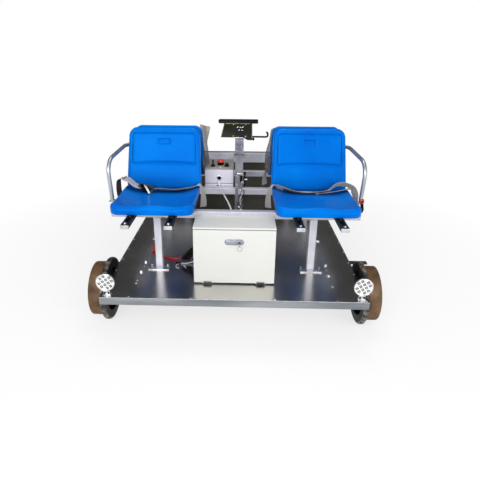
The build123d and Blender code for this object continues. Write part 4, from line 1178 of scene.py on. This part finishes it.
def make_housing():
    """The control box with its sloping lid, and a lip along the foot of its front with a thin dark strip
    above it that paints the shadow line there.
    """
    left, right = control_sides
    front, rear = control_front, control_front + control_depth
    front_top = control_low + control_heights[0]
    rear_top = control_low + control_heights[1]
    lid, over, lip, seam = 0.003, 0.0008, 0.01, 0.003
    wide, deep = (left, right), (front, rear)
    wide_over, deep_over = (left - over, right + over), (front - over, rear + over)
    lip_wide, shadow_line_wide = (left + 0.002, right - 0.002), (left + 0.001, right - 0.001)
    lip_top, shadow_line_deep = control_low + lip, (front - 0.0006, front + 0.001)
    bm = bmesh.new()
    slab(bm, corners(wide, deep, control_low), corners(wide, deep, front_top - lid, rear_top - lid),
         0.003, 0, 3)
    slab(bm, corners(wide_over, deep_over, front_top - lid, rear_top - lid),
         corners(wide_over, deep_over, front_top, rear_top), 0.0014, 1)
    slab(bm, corners(lip_wide, (front - 0.005, front), control_low),
         corners(lip_wide, (front - 0.003, front), lip_top), 0.0012)
    # Painted shade: a thin strip in the dark finish above the lip stands for the shadow line there.
    slab(bm, corners(shadow_line_wide, shadow_line_deep, lip_top), corners(shadow_line_wide, shadow_line_deep, lip_top + seam),
         0.0002, 3)
    for x in (left + 0.012, right - 0.012):
        for depth in (0.012, control_depth - 0.012):
            rivet(bm, lid_place(depth, x), 0.0042, 2)
    piece("control_housing", bm, "chassis", "control_paint",
          ("control_paint", "control_lid", "bright_zinc", "dark_cells_and_painted_shade"), "control_box", 40.0)


button_x = -0.106


def make_stop_button():
    """A red mushroom with a domed top on a black collar."""
    bm = bmesh.new()
    mushroom = lid_place(0.083, button_x)
    lathe(bm, mushroom, [(0, 0.0215), (0.004, 0.0215), (0.006, 0.019), (0.006, 0.014)], 36, 1)
    lathe(bm, mushroom, [(0.006, 0.0125), (0.016, 0.0125)], 28, 1)
    lathe(bm, mushroom, [(0.016, 0.0125), (0.016, 0.0215), (0.0185, 0.0235), (0.0205, 0.0235)], 36, 1)
    dome = [(0.0205 + 0.0125 * math.sin(math.radians(angle)), 0.02 * math.cos(math.radians(angle)) ** 0.6)
            for angle in range(0, 90, 9)]
    lathe(bm, mushroom, [(0.0205, 0.0235), (0.0207, 0.02)] + dome + [(0.033, 0.0)], 36, 0)
    piece("stop_mushroom", bm, "chassis", "red_plastic", ("red_plastic", "black_plastic"),
          "stop_button", 40.0)


def make_switches():
    """A toggle, a knob with a white mark, and a low round head in front of the stop button."""
    bm = bmesh.new()
    switch_depth, toggle_x, knob_x = 0.056, -0.155, -0.065
    toggle = lid_place(switch_depth, toggle_x)
    lathe(bm, toggle, [(0, 0.0155), (0.003, 0.0155), (0.005, 0.012), (0.01, 0.0075), (0.014, 0.006)], 28)
    lathe(bm, toggle, [(0.014, 0.006), (0.016, 0.0042), (0.038, 0.005), (0.042, 0.0042),
                       (0.0435, 0.0)], 20)
    knob = lid_place(switch_depth, knob_x)
    lathe(bm, knob, [(0, 0.017), (0.003, 0.017), (0.004, 0.015), (0.018, 0.01), (0.021, 0.0085),
                     (0.0215, 0.0)], 16)
    block(bm, knob @ shift(0, 0.004, 0.0215), (0.0022, 0.011, 0.0014), 0.0004, 1)
    rivet(bm, lid_place(0.038, button_x), 0.0052, 1)
    piece("control_knobs", bm, "chassis", "black_plastic", ("black_plastic", "white_plastic"),
          "control_switches", 40.0)


def make_cable_entry():
    """The gland in the front of the box, where the white cable leaves it."""
    bm = bmesh.new()
    gland = facing((cable_x, control_front, control_low + 0.048), (0, -1, 0))
    lathe(bm, gland, [(0, 0.0165), (0.002, 0.0165), (0.003, 0.015), (0.003, 0.012),
                      (0.0015, 0.0115)], 30)
    lathe(bm, gland, [(0.0015, 0.0118), (0.0018, 0.0)], 30, 1)
    lathe(bm, gland, [(0.0015, 0.0085), (0.007, 0.008), (0.0085, 0.0062), (0.0085, 0.0046)], 24, 1)
    piece("cable_entry", bm, "chassis", "black_plastic", ("bright_zinc", "black_plastic"), "cable_gland",
          40.0)


make_housing()
make_stop_button()
make_switches()
make_cable_entry()


# Mast head: a sleeve with a sloping top, and the pressed plate with its folded bar
plate_tilt = math.radians(24)
head_front = mast_y - 0.0265
head_low, head_foot, head_rise = 0.829, 0.937, 0.03


def plate_place(x, along, lift=0.0):
    """A place on the plate's rear plane: along runs up the slope, lift stands off its front."""
    spot = Vector((mast_x + x, head_front, head_foot))
    spot += Vector((0, math.sin(plate_tilt), math.cos(plate_tilt))) * along
    spot += Vector((0, -math.cos(plate_tilt), math.sin(plate_tilt))) * lift
    return facing(spot, (0, -math.cos(plate_tilt), math.sin(plate_tilt)), (0, 0, 1))


def rounded_polygon(spots, steps=6):
    """The outline through corners, each given as x, y and the radius of its round."""
    outline = []
    for index, (x, y, radius) in enumerate(spots):
        here = Vector((x, y))
        before = (Vector(spots[index - 1][:2]) - here).normalized()
        after = (Vector(spots[(index + 1) % len(spots)][:2]) - here).normalized()
        if not radius:
            outline.append(here)
            continue
        half = before.angle(after) / 2
        start = here + before * radius / math.tan(half)
        end = here + after * radius / math.tan(half)
        middle = here + (before + after).normalized() * radius / math.sin(half)
        for step in range(steps + 1):
            way = (start - middle).lerp(end - middle, step / steps).normalized()
            outline.append(middle + way * radius)
    return outline


def plate_sheet(bm, spots, low, high, bevel, material):
    """A sheet of the plate's slope with rounded corners and broken edges."""
    outline = rounded_polygon(spots)
    rings = [[plate_place(point.x, point.y, lift).translation for point in outline] for lift in (low, high)]
    sheet(bm, rings, bevel, slice(1, 2), material)


def make_mast_head():
    """The sleeve, the tilted plate with its yellow edges, its bolts, and the small holder on it."""
    bm = bmesh.new()
    half, rise = 0.0265, head_rise * math.cos(plate_tilt)
    back = head_front + head_rise * math.sin(plate_tilt)
    section = [(head_front, head_low), (head_front, head_foot), (back, head_foot + rise),
               (mast_y + half, head_foot + rise), (mast_y + half, head_low)]
    prism(bm, section, mast_x - half, mast_x + half, 0.0015)
    foot, neck, bar, top = 0.116, 0.097, 0.132, 0.114
    plate_sheet(bm, [(-foot, 0, 0.004), (0.022, 0, 0.012), (0.05, -0.016, 0.007), (0.079, -0.016, 0.007),
                     (0.079, 0.088, 0.0), (-neck, 0.088, 0.0)], 0.0, 0.004, 0.0008, 1)
    plate_sheet(bm, [(-bar, 0.088, 0.01), (top, 0.088, 0.004), (top, top, 0.004), (-bar, top, 0.01)],
                0.0, 0.0065, 0.002, 2)
    block(bm, plate_place(-0.004, top - 0.002, -0.008), (0.234, 0.004, 0.016), 0.001, 2)
    for x, wide in ((-0.0145, 0.155), (0.000, 0.01)):
        block(bm, plate_place(x, 0.0865, 0.0042), (wide, 0.003, 0.0012), 0.0004, 3)
    for ends in (((-foot + 0.0035, 0.006), (-neck + 0.002, 0.086)), ((0.0765, -0.008), (0.0765, 0.086))):
        rod(bm, [plate_place(*end, 0.0042).translation for end in ends], 0.0016, 8, 3)
    for x in (-0.0375, 0.0375):
        for along in (0.0065, 0.0815):
            hex_bolt(bm, plate_place(x, along, 0.004), 0.007, 0.003, 0.005, 3)
    knob = plate_place(0.085, -0.01, 0.0)
    lathe(bm, knob, [(-0.004, 0.0), (-0.003, 0.0055), (0.002, 0.008), (0.0075, 0.008),
                     (0.012, 0.0055), (0.013, 0.0)], 20, 2)
    bracket = plate_place(0.0035, 0.058, 0.004)
    block(bm, bracket @ shift(0, -0.004, 0.0015), (0.046, 0.034, 0.003), 0.001, 1)
    for across, along, wide, turn in ((-0.015, 0.006, 0.012, 0.4), (0.002, 0.004, 0.01, -0.5),
                                      (0.016, 0.006, 0.012, 0.3), (-0.006, -0.013, 0.009, 0.9),
                                      (0.012, -0.014, 0.009, -0.2)):
        clip = bracket @ shift(across, along, 0.0035) @ spin(turn, "Z")
        block(bm, clip, (wide, 0.0042, 0.003), 0.0008, 4)
        rivet(bm, clip @ shift(0, 0, 0.0015), 0.0026, 4)
    for side in sides:
        seam = head_front - 0.0003
        rod(bm, [(mast_x + side * 0.0255, seam, head_low + 0.002),
                 (mast_x + side * 0.01, seam, head_low + 0.06)], 0.0016, 8, 4)
    weld = [(mast_x + side * half, head_front - 0.0005, head_foot - 0.001) for side in sides]
    rod(bm, weld, 0.0025, 8, 4)
    piece("mast_head_plate", bm, "mast_head", "plate_black",
          ("mast_steel", "plate_black", "black_plastic", "yellow_zinc", "bright_zinc"), "mount_plate", 35.0)


make_mast_head()


def make_hook():
    """Cup hook's rod, as thick as the photo shows it."""
    low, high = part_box("hook_rod")
    bm = bmesh.new()
    radius, reach, rise, back = 0.0055, 0.115, 0.022, 0.009
    start = Vector((low[0], (low[1] + high[1]) / 2, low[2] + 0.004))
    end = start + Vector((reach, 0, 0))
    line = bent([start, end, end + Vector((0, 0, rise)), end + Vector((-back, 0, rise + back))],
                (0.01, 0.01), 6)
    rod(bm, line, radius, 16)
    lathe(bm, facing(start + Vector((0.01, 0, 0)), (1, 0, 0), (0, 1, 0)),
          [(-0.006, radius), (-0.005, 0.0085), (0.005, 0.0085), (0.006, radius)], 6)
    piece("hook_bar", bm, "mast_head", "black_plastic", (), "hook_rod", 40.0)


make_hook()


def make_lever_details():
    """Bolts of the lever gate, a clevis with its pin, and the collars of the lever."""
    bm = bmesh.new()
    gate = beam_y[1] + 0.016
    for x, z in ((0.002, 0.689), (0.001, 0.634), (0.033, 0.7)):
        hex_bolt(bm, facing((x, gate, z), (0, -1, 0)), *small_bolt)
    block(bm, shift(0.03, gate - 0.004, 0.672), (0.016, 0.008, 0.052), 0.0015, 1)
    block(bm, shift(0.022, gate - 0.006, 0.705), (0.034, 0.01, 0.014), 0.0015)
    for turn in range(3):
        arm = shift(0.037, gate - 0.014, 0.65) @ spin(turn * math.pi / 3, "Y")
        block(bm, arm, (0.024, 0.005, 0.005), 0.001)
    lathe(bm, facing((0.037, gate - 0.008, 0.65), (0, -1, 0)),
          [(0, 0.007), (0.009, 0.007), (0.011, 0.005), (0.0115, 0.0)], 20)
    block(bm, shift(0.06, beam_y[1] - 0.004, 0.676), (0.018, 0.01, 0.006), 0.0015, 2)
    lever = (mast_x + 0.037, beam_y[1])
    lathe(bm, shift(*lever, beam_top + 0.001),
          [(0, 0.011), (0.005, 0.011), (0.007, 0.008), (0.007, 0.0)], 24)
    lathe(bm, shift(*lever, beam_top + 0.06),
          [(0, 0.005), (0.002, 0.0062), (0.03, 0.0062), (0.034, 0.005)], 20, 1)
    piece("lever_details", bm, "chassis", "zinc_steel", ("bright_zinc", "black_plastic", "white_plastic"))


def make_lever_wires():
    """Thin wires that go down beside the post, with small clips."""
    bm = bmesh.new()
    front = beam_y[1] - 0.031
    runs = (([(0.046, front, 0.616), (0.05, front - 0.004, 0.596), (0.038, front - 0.004, 0.566),
              (0.022, front, 0.54), (0.01, front, 0.505), (0.012, front + 0.006, 0.47)], 0.0022, 1),
            ([(0.036, front, 0.618), (0.03, front - 0.006, 0.59), (0.044, front - 0.004, 0.556),
              (0.036, front, 0.52), (0.02, front + 0.002, 0.486), (0.022, front + 0.006, 0.44)], 0.0018, 1),
            ([(0.026, front, 0.616), (0.036, front - 0.004, 0.584), (0.024, front - 0.004, 0.548),
              (0.03, front, 0.512)], 0.0018, 2))
    for points, radius, finish in runs:
        rod(bm, smooth_path(points, 6), radius, 8, finish)
    for x, z, lean in ((0.018, 0.5, 0.5), (0.03, 0.482, -0.4), (0.012, 0.462, 0.2)):
        block(bm, shift(x, front - 0.003, z) @ spin(lean, "Y"), (0.016, 0.006, 0.006), 0.0012, 2)
    piece("lever_wires", bm, "chassis", "black_plastic", ("bright_zinc", "black_plastic", "white_plastic"))


make_lever_details()
make_lever_wires()


# Clear film left on the rear seats, hanging beside the backrests
def make_film(name, body, threads):
    """A crumpled sheet between two lines of points, whose rows run down from its top."""
    bm = bmesh.new()
    steps = 14
    rows = []
    for left, right in threads:
        row = []
        for step in range(steps + 1):
            share = step / steps
            coarse = math.sin(share * 9.0 + left[2] * 31.0) * 0.004
            fold = coarse + math.sin(share * 21.0 - left[2] * 67.0) * 0.0015
            row.append(Vector(left).lerp(Vector(right), share) + Vector((0.2 * fold, fold, 0)))
        rows.append(row)
    line = [smooth_path([tuple(row[index]) for row in rows], 6) for index in range(steps + 1)]
    loft(bm, [[thread[index] for thread in line] for index in range(len(line[0]))], 0, False)
    area = sum(face.calc_area() for face in bm.faces)
    film = piece(name, bm, body, "white_rubber", ("film_grey",), (), 60.0)


make_film("film_rear_left", "seat_rear_left", [
    ((-0.236, -0.118, 1.004), (-0.17, -0.122, 0.99)), ((-0.234, -0.116, 0.96), (-0.178, -0.124, 0.95)),
    ((-0.23, -0.112, 0.9), (-0.188, -0.122, 0.895)), ((-0.226, -0.106, 0.84), (-0.184, -0.116, 0.838)),
    ((-0.222, -0.1, 0.76), (-0.182, -0.108, 0.758)), ((-0.218, -0.096, 0.69), (-0.198, -0.102, 0.688))])
make_film("film_rear_right", "seat_rear_right", [
    ((0.236, -0.118, 0.99), (0.212, -0.124, 0.975)), ((0.232, -0.116, 0.92), (0.204, -0.124, 0.91)),
    ((0.226, -0.11, 0.84), (0.186, -0.12, 0.836)), ((0.222, -0.104, 0.77), (0.18, -0.112, 0.766)),
    ((0.22, -0.098, 0.69), (0.188, -0.106, 0.69))])


def make_lamps():
    """A cup with a bright rim, and square reflectors behind its glass."""
    bm = bmesh.new()
    glass = bmesh.new()
    cell, pitch, lean = 0.015, 0.0205, math.radians(33)
    grid = (-1.5, -0.5, 0.5, 1.5)
    for end in sides:
        for side in sides:
            place = facing((side * lamp_x, end * lamp_y, lamp_z), (0, end, 0))
            lathe(bm, place, [(-0.0165, 0.0), (-0.0165, 0.02), (-0.014, 0.03), (-0.008, 0.0385),
                              (0.002, 0.043), (0.01, 0.0455)], 40, 1)
            lathe(bm, place, [(0.01, 0.0455), (0.011, 0.0478), (0.014, 0.048), (0.016, 0.0472),
                              (0.0168, 0.0455), (0.016, 0.044), (0.0125, 0.0436)], 48, 0)
            lathe(bm, place, [(0.0125, 0.0436), (0.011, 0.043), (0.011, 0.0)], 48, 2)
            for row in grid:
                for column in grid:
                    if abs(row) + abs(column) > 2.5:
                        continue
                    seat = place @ spin(lean, "Z") @ shift(row * pitch, column * pitch, 0.011)
                    block(bm, seat, (cell + 0.003, cell + 0.003, 0.0022), 0.0008, 2)
                    block(bm, seat @ shift(0, 0, 0.0008), (cell, cell, 0.0024), 0.0011, 3)
                    rivet(bm, seat @ shift(0, 0, 0.002), 0.003, 1)
            lathe(glass, place, [(0.014, 0.044), (0.0152, 0.03), (0.0158, 0.0)], 40)
    piece("lamp_heads", bm, "chassis", "lamp_chrome",
          ("bright_zinc", "lamp_chrome", "white_plastic", "dark_cells_and_painted_shade"), "corner_lamps", 40.0)
    piece("lamp_glasses", glass, "chassis", "lamp_chrome", ("lamp_glass",), (), 40.0)


make_lamps()


def make_lamp_feet():
    """A folded bracket bolted to the deck, narrower than the solids' plain foot; its bolt heads take the
    dark finish, painted shade for the dark holes of the foot.
    """
    bm = bmesh.new()
    stem_top = lamp_z - 0.0433
    for end in sides:
        for side in sides:
            x, y = side * lamp_x, end * lamp_y
            block(bm, shift(x, y, deck_top + 0.0017), (0.042, 0.024, 0.003), 0.0008)
            block(bm, shift(x, y, (deck_top + stem_top) / 2), (0.014, 0.008, stem_top - deck_top), 0.001)
            block(bm, shift(x, y + end * 0.0055, deck_top + 0.014), (0.034, 0.003, 0.022), 0.0008)
            # Painted shade: the bolt heads take the dark finish, standing for the dark holes of the foot.
            for offset in (-0.01, 0.01):
                head = facing((x + offset, y + end * 0.007, deck_top + 0.014), (0, end, 0))
                hex_bolt(bm, head, *foot_bolt, 1)
    piece("lamp_feet", bm, "chassis", "zinc_steel", ("bright_zinc", "dark_cells_and_painted_shade"), "lamp_brackets", 40.0)


make_lamp_feet()


def make_posts():
    """Square tubes with rounded corners, a foot plate in front of each, and weld beads."""
    bm = bmesh.new()
    half, top, plate, wide = 0.02, beam_top - 0.04, 0.006, (0.06, 0.034, 0.034, 0.06)
    for y, x, reach in zip(beam_y, post_x, wide):
        for side in sides:
            middle = Vector((side * x, y, 0))
            rows = []
            for height in (deck_top, top):
                ring = rounded_outline(half, -half, half, (0.004, 0.004), 2, 2, 5)
                rows.append([middle + Vector((point.x, point.y, height)) for point, _ in ring])
            loft(bm, rows)
            foot = shift(side * x, y - half - 0.0185, deck_top + plate / 2 + 0.0002)
            block(bm, foot, (2 * reach, 0.0368, plate), 0.001, 1)
            proud = half + 0.0006
            beads = [([(across, -half - 0.0008, deck_top + plate + 0.0008)
                       for across in (-0.019, -0.006, 0.007, 0.019)], 0.0022)]
            beads += [([(across, along, top - 0.0006) for along in (-0.018, 0.0, 0.018)], 0.0018)
                      for across in (-proud, proud)]
            beads.append(([(across, -proud, top - 0.0006) for across in (-0.018, 0.0, 0.018)], 0.0018))
            for bead, radius in beads:
                rod(bm, [middle + Vector(spot) for spot in bead], radius, 8)
    piece("seat_post_tubes", bm, "chassis", "zinc_steel", ("zinc_steel", "bright_zinc"), "seat_posts", 35.0)


make_posts()


def make_lead_joints():
    """Taped joints of the leads where they leave the box, and the bare end of the grey one."""
    bm = bmesh.new()
    bundles = (
        ([(-0.22, -0.618, 0.384), (-0.244, -0.61, 0.368), (-0.262, -0.608, 0.352),
          (-0.284, -0.614, 0.332), (-0.304, -0.62, 0.308)], 0.0085),
        ([(-0.222, -0.6, 0.362), (-0.25, -0.598, 0.352), (-0.268, -0.596, 0.33),
          (-0.284, -0.6, 0.312), (-0.296, -0.602, 0.296)], 0.008),
        ([(-0.224, -0.598, 0.346), (-0.246, -0.596, 0.338), (-0.256, -0.594, 0.32),
          (-0.264, -0.592, 0.304), (-0.28, -0.592, 0.292)], 0.006))
    for points, radius in bundles:
        path = [Vector(spot) for spot in smooth_path(points, 5)]
        rod(bm, path, radius, 10)
        tape = [(-0.006, radius), (-0.005, radius + 0.0016), (0.005, radius + 0.0016), (0.006, radius)]
        for share in (0.35, 0.6, 0.85):
            at = int(share * (len(path) - 1))
            lathe(bm, facing(path[at], path[at] - path[at - 1], (0, 1, 0)), tape, 16)
    for tail in (((-0.318, -0.625, 0.28), (-0.334, -0.64, 0.281), (-0.336, -0.662, 0.28),
                  (-0.326, -0.676, 0.279), (-0.316, -0.672, 0.279)),
                 ((-0.292, -0.646, 0.279), (-0.284, -0.656, 0.279), (-0.28, -0.668, 0.279))):
        rod(bm, smooth_path(tail, 5), 0.0022, 8, 1)
    piece("lead_joints", bm, "chassis", "black_plastic", ("black_plastic", "grey_rubber"))


make_lead_joints()


def deck_fasteners():
    """Bolts and rivets on the deck and the foot plates, and a bright strip along the deck's two ends that
    paints the highlight on their edges.
    """
    big_rivet, end_rivet, side_rivet = 0.0055, 0.0045, 0.0042
    side_line, side_pitch, end_line = 0.667, 0.1425, deck_end - 0.01
    highlight_strip_width, highlight_strip_thick, highlight_strip_height = 1.35, 0.0012, 0.0032
    bm = bmesh.new()
    for side in sides:
        for y in (0.606, 0.734):
            hex_bolt(bm, shift(side * 0.52, y, deck_top), *deck_bolt)
        for y in (-0.854, 0.519, 0.664, 0.846):
            rivet(bm, shift(side * 0.521, y, deck_top), big_rivet)
        for step in range(-6, 7):
            rivet(bm, shift(side * side_line, side_pitch * step, deck_top), side_rivet)
    for x, y in ((-0.52, -0.604), (-0.521, -0.727), (0.525, -0.6085), (0.52, -0.734)):
        hex_bolt(bm, shift(x, y, deck_top), *deck_bolt)
    for x, y in ((-0.518, -0.662), (-0.522, -0.822), (0.523, -0.519), (0.5215, -0.667), (0.52, -0.846)):
        rivet(bm, shift(x, y, deck_top), big_rivet)
    for x in (-0.528, -0.366, -0.216, 0.209, 0.36, 0.519, 0.663):
        for end in sides:
            rivet(bm, shift(x, end * end_line, deck_top), end_rivet)
    foot_top = deck_top + 0.006
    for x in (-0.475, -0.383, 0.377, 0.482):
        hex_bolt(bm, shift(x, -0.65, foot_top), *foot_bolt)
    for side in sides:
        for offset in (-0.048, 0.048):
            spot = (side * post_x[3] + offset, beam_y[3] - 0.038, foot_top)
            hex_bolt(bm, shift(*spot), *rear_foot_bolt)
    # Painted highlight: a thin bright strip along each end of the deck stands for the light line on its
    # edge.
    for end in sides:
        block(bm, shift(0, end * (deck_end + highlight_strip_thick / 4), deck_top - highlight_strip_height / 2),
              (highlight_strip_width, highlight_strip_thick, highlight_strip_height), 0.0004)
    piece("deck_fasteners", bm, "chassis", "zinc_steel", ("bright_zinc",))


deck_fasteners()


# Light, floor and background
def make_lights():
    """Two large lamps in front and a small one above, all aimed at the middle of the trolley."""
    for name, place, size, power in (
        ("key", (-1.2, -5.0, 3.0), 2.8, 160.0),
        ("fill", (2.8, -4.6, 2.2), 3.0, 100.0),
        ("top", (0.2, 0.2, 4.4), 1.8, 40.0),
    ):
        data = bpy.data.lights.new(name, "AREA")
        data.size = size
        data.energy = power
        lamp = bpy.data.objects.new(name, data)
        lamp.location = place
        aim = Vector((0, -0.2, 0.5)) - Vector(place)
        lamp.rotation_euler = aim.to_track_quat("-Z", "Y").to_euler()
        bpy.context.scene.collection.objects.link(lamp)


def seen_straight(tree, *kinds):
    """1 for rays from the camera, and for those of the kinds named."""
    path = add_node(tree, "LightPath")
    total = path.outputs["Is Camera Ray"]
    for kind in kinds:
        add = add_node(tree, "Math", wires={0: total, 1: path.outputs[kind]}, operation="MAXIMUM")
        total = add.outputs["Value"]
    return total


def make_world():
    """A white background, and a room that is lighter in front of the trolley than behind it."""
    world = bpy.data.worlds.new("studio")
    world.use_nodes = True
    tree = world.node_tree
    axes = add_node(tree, "SeparateXYZ", wires={0: add_node(tree, "TexCoord").outputs["Generated"]})
    diffuse, glossy = (add_range(tree, axes.outputs["Y"], front, back, -0.3, 0.3)
                       for front, back in ((0.5, 0.34), (0.7, 0.07)))
    kind = add_node(tree, "LightPath").outputs["Is Glossy Ray"]
    room = add_node(tree, "Mix", wires={"Factor": kind, "A": diffuse, "B": glossy})
    straight = seen_straight(tree, "Is Transmission Ray")
    strength = add_node(tree, "Mix", {"B": 1.0}, {"Factor": straight, "A": room.outputs["Result"]})
    background = tree.nodes["Background"]
    background.inputs["Color"].default_value = (1, 1, 1, 1)
    tree.links.new(strength.outputs["Result"], background.inputs["Strength"])
    bpy.context.scene.world = world


def make_floor():
    """A pale floor that keeps the shadow near the trolley and fades into the background."""
    half_size, near, far = 30, 1.0, 2.4
    bm = bmesh.new()
    bmesh.ops.create_grid(bm, x_segments=1, y_segments=1, size=half_size)
    mesh = bpy.data.meshes.new("floor")
    bm.to_mesh(mesh)
    bm.free()
    floor = bpy.data.objects.new("floor", mesh)
    bpy.context.scene.collection.objects.link(floor)
    material, tree, shader = start_material("floor")
    shader.inputs["Base Color"].default_value = (0.9, 0.9, 0.9, 1)
    shader.inputs["Roughness"].default_value = 0.9
    shader.inputs["Specular IOR Level"].default_value = 0.0
    glow = add_node(tree, "Emission", {"Strength": 1.0})
    place = add_node(tree, "TexCoord").outputs["Object"]
    reach = add_node(tree, "VectorMath", wires={0: place}, operation="LENGTH").outputs["Value"]
    straight = seen_straight(tree, "Is Glossy Ray", "Is Transmission Ray")
    share = add_node(tree, "Math", wires={0: add_range(tree, reach, 0.7, 1.0, near, far), 1: straight},
                     operation="MULTIPLY")
    mix = add_node(tree, "MixShader", wires={"Fac": share.outputs["Value"], 1: shader.outputs["BSDF"],
                                             2: glow.outputs["Emission"]})
    tree.links.new(mix.outputs["Shader"], tree.nodes["Material Output"].inputs["Surface"])
    mesh.materials.append(material)


make_lights()
make_world()
make_floor()
bpy.context.scene.view_settings.view_transform = "Standard"
